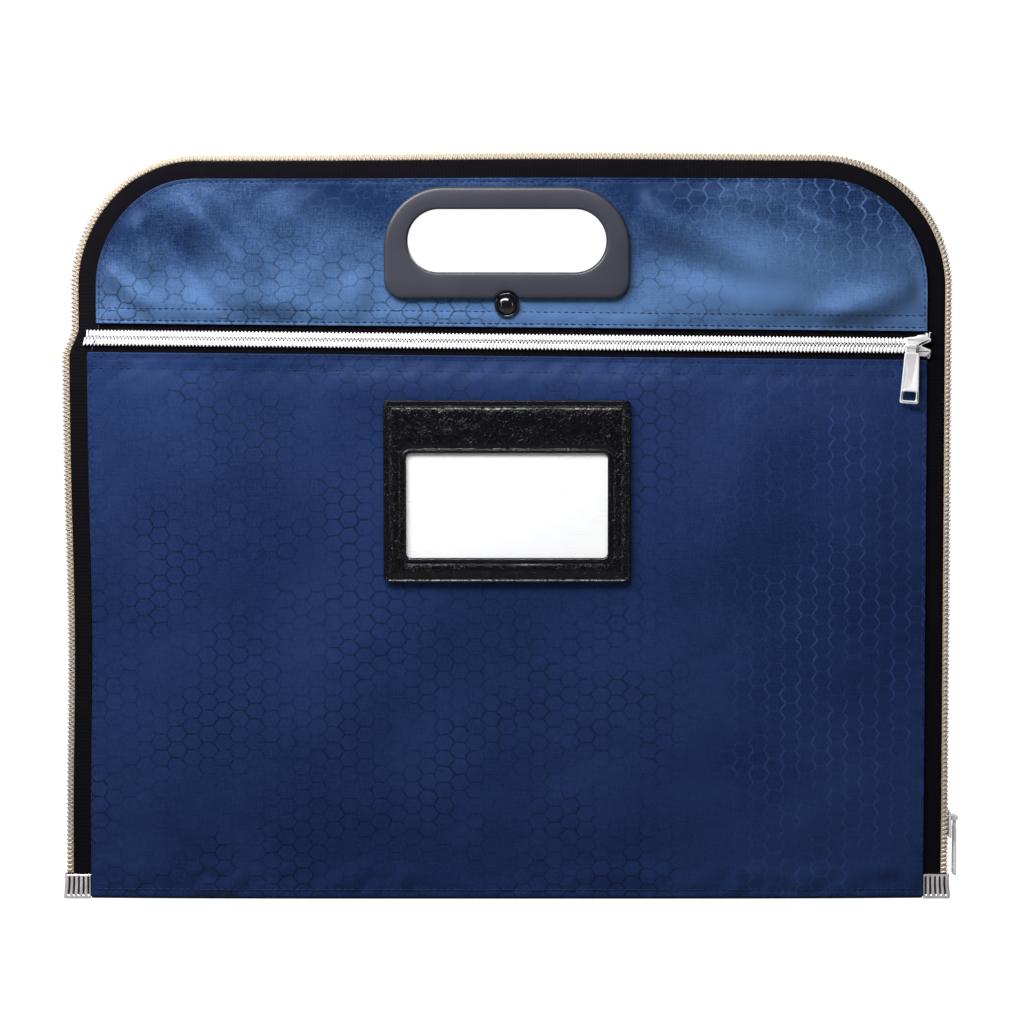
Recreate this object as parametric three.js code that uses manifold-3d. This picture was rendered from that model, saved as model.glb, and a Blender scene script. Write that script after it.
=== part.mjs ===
// A flat zipped cash deposit bag in millimetres. +Z is up, the front faces -Y, +X is to the
// right, and the origin is the middle of the underside of the bottom fold.
import * as THREE from 'three';
import { mergeVertices } from 'three/addons/utils/BufferGeometryUtils.js';
import Module from 'manifold-3d';

const wasm = await Module();
wasm.setup();

// ---- Driving dimensions --------------------------------------------------------------------

// The whole bag, to the outside of the zip that runs round three sides.
const BAG_WIDTH = 372;
const BAG_HEIGHT = 313.5;
const CORNER_RADIUS = 56;
const EDGE_HALF_DEPTH = 5;      // middle plane to the outside of the cloth, along the zip
const FOLD_HALF_DEPTH = 3.4;    // the same at the bottom corners, where the bag is pinched
const PINCH_HEIGHT = 45;        // the bag has its full depth above this height
const BULGE = 3.4;              // how far the middle of each side stands out further
const BULGE_FADE = 62;          // height over which the bulge fades away ...
const BULGE_ZIP_GAP = 8;        // ... to be gone this far below the pocket zip
const CLOTH = 0.9;
const LINING = 0.5;
const LINING_SHARE = 0.52;      // where the lining lies, between the middle plane and the cloth
const LINING_INSET = 6;
const FOLD_HEIGHT = 6;
const FOLD_CHAMFER = 1;
const GAP = 0.3;                // between pieces that touch

// The main zip: its chain faces outwards, and each tape turns inwards under the cloth.
const COIL_HEIGHT = 2.1;
const COIL_INNER = 0.5;         // a coil half's near and far side, from the middle plane
const COIL_OUTER = 3.1;
const TAPE = 0.5;
const TAPE_SHOWN = 8.4;         // tape and coil that show beside the cloth
const TAPE_UNDER = 3;           // tape sewn under the cloth

// The metal clips that hold the zip's ends.
const CLIP_HEIGHT = 10.3;
const CLIP_PROUD = 0.8;
const CLIP_WALL = 0.9;
const CLIP_GROOVES = 4;
const CLIP_GROOVE_WIDTH = 0.8;
const CLIP_GROOVE_DEPTH = 0.35;
const CLIP_LIP = 1.8;
const TAIL_UNDER = 3;

// The pocket zip, which falls a little to the right.
const ZIP_FROM_TOP = 78.5;
const ZIP_SLOPE = 0.0095;
const ZIP_MARGIN = 6;           // middle of the zip to the folded edge of the cloth
const POCKET_COIL = 3;          // width of one coil half
const POCKET_COIL_THICK = 1.2;
const POCKET_SPLIT = 0.3;       // middle of the zip to each half
const POCKET_TAPE = 9;
const LINING_ABOVE_ZIP = 8.5;

// Sliders and pull tabs.
const SLIDER_LENGTH = 11;
const SLIDER_HALF_WIDTH = 4.6;
const SLIDER_PLATE = 0.9;
const SLIDER_BACK_PLATE = 0.55;
const SLIDER_WEB = 0.3;
const SLIDER_FROM_EDGE = 3.8;   // middle of the pocket slider to the edge of the cloth
const MAIN_SLIDER_Z = 31.5;
const BAIL_OFFSET = -2.7;
const BAR_RADIUS = 0.55;
const EYE_RADIUS = 1.4;
const EYE_HALF_LENGTH = 1.5;
const LEG_WIDTH = 0.8;
const PULL_LENGTH = 24.2;
const PULL_TOP_WIDTH = 6.3;
const PULL_TIP_WIDTH = 8;
const PULL_THICK = 1.2;

// The plastic grip, one plate on each side of the bag.
const GRIP_WIDTH = 102.5;
const GRIP_HEIGHT = 46.5;
const GRIP_FROM_TOP = 14;
const GRIP_TOP_RADIUS = 25;
const GRIP_BOTTOM_RADIUS = 8;
const GRIP_THICK = 3;
const GRIP_BEVEL = 0.9;
const HAND_RIM_SIDE = 9.55;     // the grip's rim round the hand hole
const HAND_RIM_TOP = 9.3;
const HAND_RIM_BOTTOM = 10.8;
const COLLAR_WALL = 1.5;
const COLLAR_END = 2.4;         // middle plane to the end of each collar
const RING_WIDTH = 2.6;
const RING_THICK = 1.2;

// The snap.
const SNAP_BELOW_GRIP = 2.7;
const SNAP_RADIUS = 5.25;
const SNAP_SHAFT = 1.2;
const SNAP_BASE_RADIUS = 4;
const SNAP_POST_RADIUS = 2.1;
const SNAP_CLEARANCE = 0.4;

// The card holder.
const CARD_WIDTH = 90;
const CARD_HEIGHT = 54;
const CARD = 0.35;
const HOLDER_SIDE = 6.5;        // how much wider the holder is than the card, on each side
const HOLDER_TALLER = 21.8;
const HOLDER_BELOW_ZIP = 24.7;
const HOLDER_RIM = 3.5;
const HOLDER_FLOOR = 0.4;
const HOLDER_FACE = 0.8;
const HOLDER_RADIUS = 2.5;
const WINDOW_SIDE = 3;          // how much narrower the window is than the card, on each side
const WINDOW_SHORTER = 10.3;
const WINDOW_ABOVE_FOOT = 10.4;
const WINDOW_LAP = 2;
const PANE = 0.25;

// How finely curved pieces are cut.
const COLUMNS = 14;
const SIDE_STEPS = 8;
const CORNER_STEPS = 7;
const ROUND = 20;
const ARC_STEPS = 5;

// ---- Values that follow from them ----------------------------------------------------------

const half = BAG_WIDTH / 2;
const clothInset = TAPE_SHOWN + COIL_HEIGHT;
const clothHalf = half - clothInset;
const clothRadius = CORNER_RADIUS - clothInset;
const cornerStart = BAG_HEIGHT - CORNER_RADIUS;
const zipLine = BAG_HEIGHT - ZIP_FROM_TOP;
const bulgeEnd = zipLine - BULGE_ZIP_GAP;
const bulgeFadeStart = bulgeEnd - BULGE_FADE;
const zipStart = CLIP_HEIGHT + 2 * GAP;
const clothInside = EDGE_HALF_DEPTH - CLOTH;
const tapeFar = clothInside - 1.15 * GAP;
const tapeNear = tapeFar - TAPE;
const clipInner = clothHalf + GAP;
const gripBottom = BAG_HEIGHT - GRIP_FROM_TOP - GRIP_HEIGHT;
const handWidth = GRIP_WIDTH - 2 * HAND_RIM_SIDE;
const handHeight = GRIP_HEIGHT - HAND_RIM_TOP - HAND_RIM_BOTTOM;
const handBottom = gripBottom + HAND_RIM_BOTTOM;
const snapHeight = gripBottom - SNAP_BELOW_GRIP;

const smooth = (t) => THREE.MathUtils.smoothstep(t, 0, 1);

// The share of its full depth that the bag has at a height.
function pinch(z) {
  return THREE.MathUtils.lerp(FOLD_HALF_DEPTH / EDGE_HALF_DEPTH, 1, smooth(z / PINCH_HEIGHT));
}

// How far a side stands out past its edges.
function bulge(x, z) {
  const across = Math.max(0, 1 - (x / clothHalf) ** 4);
  const fade = 1 - smooth((z - bulgeFadeStart) / BULGE_FADE);
  return BULGE * across * fade;
}

const outerDepth = (x, z) => (EDGE_HALF_DEPTH + bulge(x, z)) * pinch(z);
const innerDepth = (x, z) => (clothInside + bulge(x, z)) * pinch(z);
const liningDepth = (x, z) => innerDepth(x, z) * LINING_SHARE;
const zipHeight = (x) => zipLine - ZIP_SLOPE * x;

// ---- Materials -----------------------------------------------------------------------------

function finish(color, roughness, metalness) {
  return new THREE.MeshStandardMaterial({ color, roughness, metalness });
}

const nylon = finish('#22386b', 0.55, 0);
const liningCloth = finish('#1a2748', 0.7, 0);
const blackTape = finish('#14141a', 0.8, 0);
const creamCoil = finish('#d8bd92', 0.4, 0);
const silverCoil = finish('#dcdde0', 0.35, 0);
const steel = finish('#c9cacd', 0.25, 1);
const greyPlastic = finish('#3d3e4a', 0.4, 0);
const blackVinyl = finish('#101014', 0.25, 0);
const blackGloss = finish('#0a0a0c', 0.12, 0);
const clearFilm = finish('#eef3f6', 0.08, 0);
const paper = finish('#f4f4f2', 0.85, 0);

// ---- Helpers that make and cut closed bodies -----------------------------------------------

function indexed(geometry) {
  const copy = geometry.clone();
  copy.deleteAttribute('normal');
  copy.deleteAttribute('uv');
  return mergeVertices(copy, 1e-4);
}

// Turns a closed body's triangles over if they face inwards.
function outward(geometry) {
  const body = indexed(geometry);
  const place = body.getAttribute('position');
  const index = body.index.array;
  const [a, b, c] = [new THREE.Vector3(), new THREE.Vector3(), new THREE.Vector3()];
  let volume = 0;
  for (let i = 0; i < index.length; i += 3) {
    a.fromBufferAttribute(place, index[i]);
    b.fromBufferAttribute(place, index[i + 1]);
    c.fromBufferAttribute(place, index[i + 2]);
    volume += a.dot(b.cross(c));
  }
  if (volume < 0) {
    for (let i = 0; i < index.length; i += 3) {
      [index[i], index[i + 1]] = [index[i + 1], index[i]];
    }
  }
  return body;
}

function solid(geometry) {
  const body = outward(geometry);
  const vertProperties = new Float32Array(body.getAttribute('position').array);
  const triVerts = new Uint32Array(body.index.array);
  return new wasm.Manifold(new wasm.Mesh({ numProp: 3, vertProperties, triVerts }));
}

function geometryOf(body) {
  const mesh = body.getMesh();
  const geometry = new THREE.BufferGeometry();
  geometry.setAttribute('position', new THREE.BufferAttribute(mesh.vertProperties, 3));
  geometry.setIndex(new THREE.BufferAttribute(mesh.triVerts, 1));
  return geometry;
}

function join(...pieces) {
  return geometryOf(pieces.map(solid).reduce((sum, piece) => sum.add(piece)));
}

function cut(from, ...tools) {
  return geometryOf(tools.map(solid).reduce((left, tool) => left.subtract(tool), solid(from)));
}

function mirrorY(geometry) {
  return outward(geometry.clone().scale(1, -1, 1));
}

// A box between two corners.
function box(x0, x1, y0, y1, z0, z1) {
  const geometry = new THREE.BoxGeometry(x1 - x0, y1 - y0, z1 - z0);
  return geometry.translate((x0 + x1) / 2, (y0 + y1) / 2, (z0 + z1) / 2);
}

// A plate whose outline is drawn in X and Z, from a back face forwards to a front face.
function plate(shape, back, front, bevel = 0) {
  const options = {
    depth: back - front - 2 * bevel,
    bevelEnabled: bevel > 0,
    bevelThickness: bevel,
    bevelSize: bevel,
    bevelOffset: -bevel,
    bevelSegments: 1,
    curveSegments: ARC_STEPS,
  };
  return new THREE.ExtrudeGeometry(shape, options).rotateX(Math.PI / 2).translate(0, back - bevel, 0);
}

// A rectangle with one radius for its top corners and one for its bottom corners.
function roundedOutline(x0, x1, z0, z1, topRadius, bottomRadius, Kind = THREE.Shape) {
  const outline = new Kind();
  outline.absarc(x1 - bottomRadius, z0 + bottomRadius, bottomRadius, -Math.PI / 2, 0);
  outline.absarc(x1 - topRadius, z1 - topRadius, topRadius, 0, Math.PI / 2);
  outline.absarc(x0 + topRadius, z1 - topRadius, topRadius, Math.PI / 2, Math.PI);
  outline.absarc(x0 + bottomRadius, z0 + bottomRadius, bottomRadius, Math.PI, 1.5 * Math.PI);
  outline.closePath();
  return outline;
}

// A closed sheet between two grids of points, rows by columns.
function sheet(outer, inner) {
  const rows = outer.length;
  const columns = outer[0].length;
  const points = [...outer.flat(), ...inner.flat()];
  const at = (side, row, column) => side * rows * columns + row * columns + column;
  const faces = [];
  const quad = (a, b, c, d) => faces.push(a, b, c, a, c, d);
  for (let r = 0; r < rows - 1; r++) {
    for (let c = 0; c < columns - 1; c++) {
      quad(at(0, r, c), at(0, r, c + 1), at(0, r + 1, c + 1), at(0, r + 1, c));
      quad(at(1, r, c), at(1, r + 1, c), at(1, r + 1, c + 1), at(1, r, c + 1));
    }
    quad(at(0, r, 0), at(0, r + 1, 0), at(1, r + 1, 0), at(1, r, 0));
    quad(at(0, r, columns - 1), at(1, r, columns - 1), at(1, r + 1, columns - 1), at(0, r + 1, columns - 1));
  }
  for (let c = 0; c < columns - 1; c++) {
    quad(at(0, 0, c), at(1, 0, c), at(1, 0, c + 1), at(0, 0, c + 1));
    quad(at(0, rows - 1, c), at(0, rows - 1, c + 1), at(1, rows - 1, c + 1), at(1, rows - 1, c));
  }
  const geometry = new THREE.BufferGeometry().setFromPoints(points);
  geometry.setIndex(faces);
  return outward(geometry);
}

// A closed body through rings of points that all follow one flat section.
function loft(section, rings) {
  const count = section.length;
  const faces = [];
  for (let r = 0; r < rings.length - 1; r++) {
    for (let i = 0; i < count; i++) {
      const [a, b] = [r * count + i, r * count + ((i + 1) % count)];
      faces.push(a, b, b + count, a, b + count, a + count);
    }
  }
  const outline = section.map(([u, v]) => new THREE.Vector2(u, v));
  const last = (rings.length - 1) * count;
  for (const [a, b, c] of THREE.ShapeUtils.triangulateShape(outline, [])) {
    faces.push(a, c, b, last + a, last + b, last + c);
  }
  const geometry = new THREE.BufferGeometry().setFromPoints(rings.flat());
  geometry.setIndex(faces);
  return outward(geometry);
}

const bag = new THREE.Group();

function add(name, geometry, material, parent = bag) {
  const mesh = new THREE.Mesh(geometry, material);
  mesh.name = name;
  parent.add(mesh);
  return mesh;
}

// ---- Cloth panels --------------------------------------------------------------------------

// A panel from one height to another. With no upper height it runs up into the round corners.
function panel(low, high, inset, depthOutside, depthInside) {
  const levels = [];
  for (let i = 0; i <= SIDE_STEPS; i++) {
    const share = (i / SIDE_STEPS) ** 1.4;
    const top = high ?? (() => cornerStart);
    levels.push({ reach: clothHalf - inset, height: (x) => THREE.MathUtils.lerp(low(x), top(x), share) });
  }
  for (let i = 1; i <= CORNER_STEPS && !high; i++) {
    const turn = (i / CORNER_STEPS) * (Math.PI / 2);
    const reach = clothHalf - clothRadius + clothRadius * Math.cos(turn);
    const z = cornerStart + clothRadius * Math.sin(turn);
    levels.push({ reach, height: () => z });
  }
  const grid = (depth) => levels.map(({ reach, height }) => (
    Array.from({ length: COLUMNS + 1 }, (_, i) => {
      const x = reach * ((2 * i) / COLUMNS - 1);
      const z = height(x);
      return new THREE.Vector3(x, -depth(x, z), z);
    })
  ));
  return sheet(grid(depthOutside), grid(depthInside));
}

const handInset = COLLAR_WALL + GAP;

function handOutline(grow, Kind = THREE.Shape) {
  const reach = handWidth / 2 + grow;
  const radius = handHeight / 2 + grow;
  const [low, high] = [handBottom - grow, handBottom + handHeight + grow];
  return roundedOutline(-reach, reach, low, high, radius, radius, Kind);
}

const handHole = plate(handOutline(handInset), 0, -2 * EDGE_HALF_DEPTH);
const snapHole = new THREE.CylinderGeometry(SNAP_SHAFT + GAP, SNAP_SHAFT + GAP, 4 * EDGE_HALF_DEPTH, ROUND);
snapHole.translate(0, 0, snapHeight);

const panelStart = () => FOLD_HEIGHT + GAP;
const pocketTop = (x) => zipHeight(x) - ZIP_MARGIN;
const upperBottom = (x) => zipHeight(x) + ZIP_MARGIN;
const liningTop = (x) => zipHeight(x) + LINING_ABOVE_ZIP;

const wholePanel = panel(panelStart, null, 0, outerDepth, innerDepth);
add('back_panel', cut(mirrorY(wholePanel), mirrorY(handHole), snapHole), nylon);

const upperPanel = panel(upperBottom, null, 0, outerDepth, innerDepth);
add('front_upper_panel', cut(upperPanel, handHole, snapHole), nylon);

add('pocket_panel', panel(panelStart, pocketTop, 0, outerDepth, innerDepth), nylon);

const liningBack = (x, z) => liningDepth(x, z) - LINING * pinch(z);
add('pocket_lining', panel(panelStart, liningTop, LINING_INSET, liningDepth, liningBack), liningCloth);

// The gutter that joins the two sides along the bottom.
function bottomFold() {
  const section = (x) => {
    const [top, foot] = [outerDepth(x, FOLD_HEIGHT), outerDepth(x, 0)];
    const [topIn, footIn] = [innerDepth(x, FOLD_HEIGHT), innerDepth(x, 0)];
    const outside = [[-top, FOLD_HEIGHT], [-foot, FOLD_CHAMFER], [FOLD_CHAMFER - foot, 0]];
    const inside = [[topIn, FOLD_HEIGHT], [footIn, CLOTH], [-footIn, CLOTH], [-topIn, FOLD_HEIGHT]];
    const farSide = outside.map(([y, z]) => [-y, z]).reverse();
    return [...outside, ...farSide, ...inside];
  };
  const rings = Array.from({ length: COLUMNS + 1 }, (_, i) => {
    const x = clothHalf * ((2 * i) / COLUMNS - 1);
    return section(x).map(([y, z]) => new THREE.Vector3(x, y, z));
  });
  return loft(section(0), rings);
}

add('bottom_fold', bottomFold(), nylon);

// ---- The main zip --------------------------------------------------------------------------

// Places along the bag's outer line, from the bottom right round the top to the bottom left.
function edgeStations(start) {
  const right = [];
  for (let i = 0; i <= SIDE_STEPS; i++) {
    const z = THREE.MathUtils.lerp(start, cornerStart, (i / SIDE_STEPS) ** 1.4);
    right.push({ x: half, z, nx: 1, nz: 0 });
  }
  for (let i = 1; i <= CORNER_STEPS; i++) {
    const turn = (i / CORNER_STEPS) * (Math.PI / 2);
    const [nx, nz] = [Math.cos(turn), Math.sin(turn)];
    right.push({ x: half + CORNER_RADIUS * (nx - 1), z: cornerStart + CORNER_RADIUS * nz, nx, nz });
  }
  const left = right.map(({ x, z, nx, nz }) => ({ x: -x, z, nx: -nx, nz })).reverse();
  return [...right, ...left];
}

// A strip round the bag. Its section is given as distances in from the outer line, and in Y.
function edgeStrip(section) {
  const rings = edgeStations(zipStart).map(({ x, z, nx, nz }) => section.map(([inset, y]) => {
    const height = z - inset * nz;
    return new THREE.Vector3(x - inset * nx, y * pinch(height), height);
  }));
  return loft(section, rings);
}

const turnNear = COIL_HEIGHT + GAP;
const turnFar = turnNear + TAPE;
const tapeEnd = clothInset + TAPE_UNDER;
const coilSection = [
  [0, -COIL_INNER],
  [0, -COIL_OUTER],
  [COIL_HEIGHT, -COIL_OUTER],
  [COIL_HEIGHT, -COIL_INNER],
];
const tapeSection = [
  [turnNear, -COIL_INNER],
  [turnNear, -tapeFar],
  [tapeEnd, -tapeFar],
  [tapeEnd, -tapeNear],
  [turnFar, -tapeNear],
  [turnFar, -COIL_INNER],
];
const frontTape = edgeStrip(tapeSection);
const frontCoil = edgeStrip(coilSection);
add('main_zip_tape_front', frontTape, blackTape);
add('main_zip_tape_back', mirrorY(frontTape), blackTape);
add('main_zip_coil_front', frontCoil, creamCoil);
add('main_zip_coil_back', mirrorY(frontCoil), creamCoil);

// A channel of sheet metal, open towards the bag, with upright grooves on its two faces.
const clipLength = half + CLIP_PROUD - clipInner;
const tailHalfDepth = COIL_OUTER * pinch(0);
const clipHalfDepth = tailHalfDepth + GAP + CLIP_WALL;

function endClip() {
  const outside = box(0, clipLength, -clipHalfDepth, clipHalfDepth, 0, CLIP_HEIGHT);
  const innerDepthY = clipHalfDepth - CLIP_WALL;
  const slot = box(-1, clipLength - CLIP_WALL, -innerDepthY, innerDepthY, -1, CLIP_HEIGHT + 1);
  const grooves = [];
  for (let i = 1; i <= CLIP_GROOVES; i++) {
    const x = (i * clipLength) / (CLIP_GROOVES + 1);
    for (const side of [-1, 1]) {
      const y = side * clipHalfDepth;
      const [y0, y1] = [y - CLIP_GROOVE_DEPTH, y + CLIP_GROOVE_DEPTH];
      const reach = CLIP_GROOVE_WIDTH / 2;
      grooves.push(box(x - reach, x + reach, y0, y1, CLIP_LIP, CLIP_HEIGHT - CLIP_GROOVE_WIDTH));
    }
  }
  return cut(outside, slot, ...grooves);
}

const tailLength = clipLength - CLIP_WALL - GAP + TAIL_UNDER;
const tailBottom = CLOTH + GAP;
const tailTop = CLIP_HEIGHT - GAP;
const tail = box(-TAIL_UNDER, tailLength - TAIL_UNDER, -tailHalfDepth, tailHalfDepth, tailBottom, tailTop);
const clip = endClip();
for (const [side, turn] of [['left', Math.PI], ['right', 0]]) {
  const place = new THREE.Group();
  place.rotation.z = turn;
  place.position.x = Math.cos(turn) * clipInner;
  bag.add(place);
  add(`end_clip_${side}`, clip, steel, place);
  add(`zip_tail_${side}`, tail, blackTape, place);
}

// ---- The pocket zip ------------------------------------------------------------------------

const pocketZip = new THREE.Group();
pocketZip.position.z = zipLine;
pocketZip.rotation.y = Math.atan(ZIP_SLOPE);
bag.add(pocketZip);

const pocketTapeReach = clothHalf - TAPE_UNDER - 2 * GAP;
const pocketCoilReach = clothHalf - 2 * GAP;
const coilBack = clothInside;
const coilFront = coilBack + POCKET_COIL_THICK;
for (const [side, z0] of [['upper', POCKET_SPLIT], ['lower', -POCKET_SPLIT]]) {
  const way = Math.sign(z0);
  const span = (width) => [z0, z0 + way * width].sort((a, b) => a - b);
  const tape = box(-pocketTapeReach, pocketTapeReach, -tapeFar, -tapeNear, ...span(POCKET_TAPE));
  const coil = box(-pocketCoilReach, pocketCoilReach, -coilFront, -coilBack, ...span(POCKET_COIL));
  add(`pocket_zip_tape_${side}`, tape, blackTape, pocketZip);
  add(`pocket_zip_coil_${side}`, coil, silverCoil, pocketZip);
}

// ---- Sliders and pull tabs -----------------------------------------------------------------

// A slider about the middle of its chain's outer face, which looks to -Y. It travels along X
// with its nose to +X. The pull's bar lies across, in the frame in which the pull hangs down.
const barDepth = SLIDER_PLATE + GAP + EYE_RADIUS + GAP;

function sliderBody({ turn, sides, flangeInner, flangeDepth, backNear, backHalfWidth, webEnd }) {
  const reach = SLIDER_LENGTH / 2;
  const width = Math.max(SLIDER_HALF_WIDTH, flangeInner + SLIDER_PLATE);
  const outline = new THREE.Shape();
  outline.moveTo(-reach, -width * 0.72);
  outline.lineTo(reach * 0.2, -width);
  outline.lineTo(reach, -width);
  outline.lineTo(reach, width);
  outline.lineTo(reach * 0.2, width);
  outline.lineTo(-reach, width * 0.72);
  outline.closePath();
  const front = plate(outline, -GAP, -GAP - SLIDER_PLATE, 0.2);
  const flanges = sides.map((side) => {
    const [z0, z1] = [side * flangeInner, side * width].sort((a, b) => a - b);
    return box(reach * 0.2, reach, -GAP - SLIDER_PLATE / 2, flangeDepth, z0, z1);
  });
  const back = box(-reach, webEnd, backNear, backNear + SLIDER_BACK_PLATE, -backHalfWidth, backHalfWidth);
  const web = box(-reach / 2, webEnd, -GAP - SLIDER_PLATE / 2, backNear + SLIDER_BACK_PLATE / 2,
    -SLIDER_WEB / 2, SLIDER_WEB / 2);
  const bodyPieces = [front, ...flanges, back, web].map((piece) => piece.rotateY(turn));
  return join(...bodyPieces, ...bail(turn));
}

const bailPlace = (turn) => [BAIL_OFFSET * Math.cos(turn), -BAIL_OFFSET * Math.sin(turn)];

// Two legs that carry a bar along X.
function bail(turn) {
  const [x, z] = bailPlace(turn);
  const legNear = EYE_HALF_LENGTH + GAP;
  const bar = new THREE.CylinderGeometry(BAR_RADIUS, BAR_RADIUS, 2 * legNear + LEG_WIDTH, 10);
  bar.rotateZ(Math.PI / 2).translate(x, -barDepth, z);
  const legs = [-1, 1].map((side) => {
    const [x0, x1] = [side * legNear, side * (legNear + LEG_WIDTH)].sort((a, b) => a - b);
    return box(x + x0, x + x1, -barDepth - BAR_RADIUS - 0.1, -GAP - SLIDER_PLATE / 2, z - 0.9, z + 0.9);
  });
  return [bar, ...legs];
}

// A pull tab that hangs from an eye round the bar, about the bar's own axis.
function pullTab() {
  const outer = new THREE.CylinderGeometry(EYE_RADIUS, EYE_RADIUS, 2 * EYE_HALF_LENGTH, ROUND);
  outer.rotateZ(Math.PI / 2);
  const hole = BAR_RADIUS + GAP;
  const inner = new THREE.CylinderGeometry(hole, hole, 4 * EYE_HALF_LENGTH, ROUND);
  inner.rotateZ(Math.PI / 2);
  const neckEnd = -EYE_RADIUS - BAR_RADIUS - 1;
  const thick = PULL_THICK / 2;
  const neck = box(-EYE_HALF_LENGTH, EYE_HALF_LENGTH, -thick, thick, neckEnd - 0.5, -hole - 0.1);
  const shape = new THREE.Shape();
  const corner = 1;
  shape.moveTo(-PULL_TOP_WIDTH / 2 + corner, neckEnd);
  shape.lineTo(PULL_TOP_WIDTH / 2 - corner, neckEnd);
  shape.lineTo(PULL_TOP_WIDTH / 2, neckEnd - corner);
  shape.lineTo(PULL_TIP_WIDTH / 2, -PULL_LENGTH + corner);
  shape.lineTo(PULL_TIP_WIDTH / 2 - corner, -PULL_LENGTH);
  shape.lineTo(-PULL_TIP_WIDTH / 2 + corner, -PULL_LENGTH);
  shape.lineTo(-PULL_TIP_WIDTH / 2, -PULL_LENGTH + corner);
  shape.lineTo(-PULL_TOP_WIDTH / 2, neckEnd - corner);
  shape.closePath();
  const border = 1.2;
  const windowHeight = 3.7;
  const reach = PULL_TIP_WIDTH / 2 - border;
  const opening = roundedOutline(-reach, reach, -PULL_LENGTH + border, -PULL_LENGTH + border + windowHeight,
    0.8, 0.8, THREE.Path);
  shape.holes.push(opening);
  const blade = plate(shape, thick, -thick, 0.2);
  return cut(join(outer, neck, blade), inner);
}

const pull = pullTab();

function addSlider(prefix, turn, body, parent) {
  const [x, z] = bailPlace(turn);
  add(`${prefix}_slider_body`, body, steel, parent);
  const tab = add(`${prefix}_pull_tab`, pull, steel, parent);
  tab.position.set(x, -barDepth, z);
}

const pocketSlider = new THREE.Group();
pocketSlider.position.set(clothHalf - SLIDER_FROM_EDGE, -coilFront, 0);
pocketZip.add(pocketSlider);
addSlider('pocket', 0, sliderBody({
  turn: 0,
  sides: [-1, 1],
  flangeInner: POCKET_SPLIT + POCKET_COIL + GAP,
  flangeDepth: coilFront - tapeFar - GAP,
  backNear: coilFront - tapeNear + GAP,
  backHalfWidth: SLIDER_HALF_WIDTH,
  webEnd: SLIDER_FROM_EDGE - TAPE_UNDER - GAP,
}), pocketSlider);

// The main slider holds the back half of the zip only, so that the front half can swing away.
const mainSlider = new THREE.Group();
mainSlider.position.set(half, 0, MAIN_SLIDER_Z);
mainSlider.rotation.z = Math.PI / 2;
bag.add(mainSlider);
addSlider('main', Math.PI / 2, sliderBody({
  turn: Math.PI / 2,
  sides: [1],
  flangeInner: tapeFar + GAP,
  flangeDepth: COIL_HEIGHT / 2,
  backNear: turnFar + GAP,
  backHalfWidth: tapeNear * pinch(MAIN_SLIDER_Z - SLIDER_LENGTH / 2) - GAP,
  webEnd: SLIDER_LENGTH / 2,
}), mainSlider);

// ---- The plastic grip ----------------------------------------------------------------------

const snapNotch = new THREE.CylinderGeometry(SNAP_RADIUS + GAP, SNAP_RADIUS + GAP, 8 * GRIP_THICK, ROUND);
snapNotch.translate(0, 0, snapHeight);

function gripPlate() {
  const reach = GRIP_WIDTH / 2;
  const shape = roundedOutline(-reach, reach, gripBottom, gripBottom + GRIP_HEIGHT,
    GRIP_TOP_RADIUS, GRIP_BOTTOM_RADIUS);
  shape.holes.push(handOutline(0, THREE.Path));
  const back = -EDGE_HALF_DEPTH - GAP;
  const face = plate(shape, back, back - GRIP_THICK, GRIP_BEVEL);
  const collarShape = handOutline(COLLAR_WALL);
  collarShape.holes.push(handOutline(0, THREE.Path));
  const collar = plate(collarShape, -COLLAR_END, back - GRIP_THICK / 2);
  return cut(join(face, collar), snapNotch);
}

function gripRing() {
  const shape = handOutline(handInset + RING_WIDTH);
  shape.holes.push(handOutline(handInset, THREE.Path));
  const front = -clothInside + GAP;
  return plate(shape, front + RING_THICK, front);
}

const grip = gripPlate();
const ring = gripRing();
add('front_handle_plate', grip, greyPlastic);
add('back_handle_plate', mirrorY(grip), greyPlastic);
add('front_handle_ring', ring, greyPlastic);
add('back_handle_ring', mirrorY(ring), greyPlastic);

// ---- The snap ------------------------------------------------------------------------------

// Profiles are [radius, distance in front of the middle plane], turned about Y.
function turned(profile) {
  const points = profile.map(([r, y]) => new THREE.Vector2(r, -y));
  return outward(new THREE.LatheGeometry(points, ROUND));
}

function atSnap(name, geometry, material) {
  add(name, geometry, material).position.z = snapHeight;
}

const capBack = EDGE_HALF_DEPTH + GAP;
const shaftEnd = clothInside - GAP / 3;
atSnap('snap_cap', turned([
  [0, shaftEnd], [SNAP_SHAFT, shaftEnd], [SNAP_SHAFT, capBack],
  [SNAP_RADIUS, capBack], [SNAP_RADIUS, capBack + 1], [SNAP_RADIUS * 0.9, capBack + 1.5],
  [SNAP_RADIUS * 0.74, capBack + 1.2], [SNAP_RADIUS * 0.66, capBack + 2.2],
  [SNAP_RADIUS * 0.4, capBack + 3], [0, capBack + 3.3],
]), blackGloss);

const baseFace = shaftEnd - GAP;
const socketEnd = 1;
const recess = SNAP_POST_RADIUS + SNAP_CLEARANCE;
const socketFloor = baseFace - CLOTH;
atSnap('snap_socket', turned([
  [0, baseFace], [SNAP_BASE_RADIUS, baseFace], [SNAP_BASE_RADIUS, socketFloor],
  [recess + 0.8, socketFloor], [recess + 0.8, socketEnd], [recess, socketEnd],
  [recess, socketFloor], [0, socketFloor],
]), steel);

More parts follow.
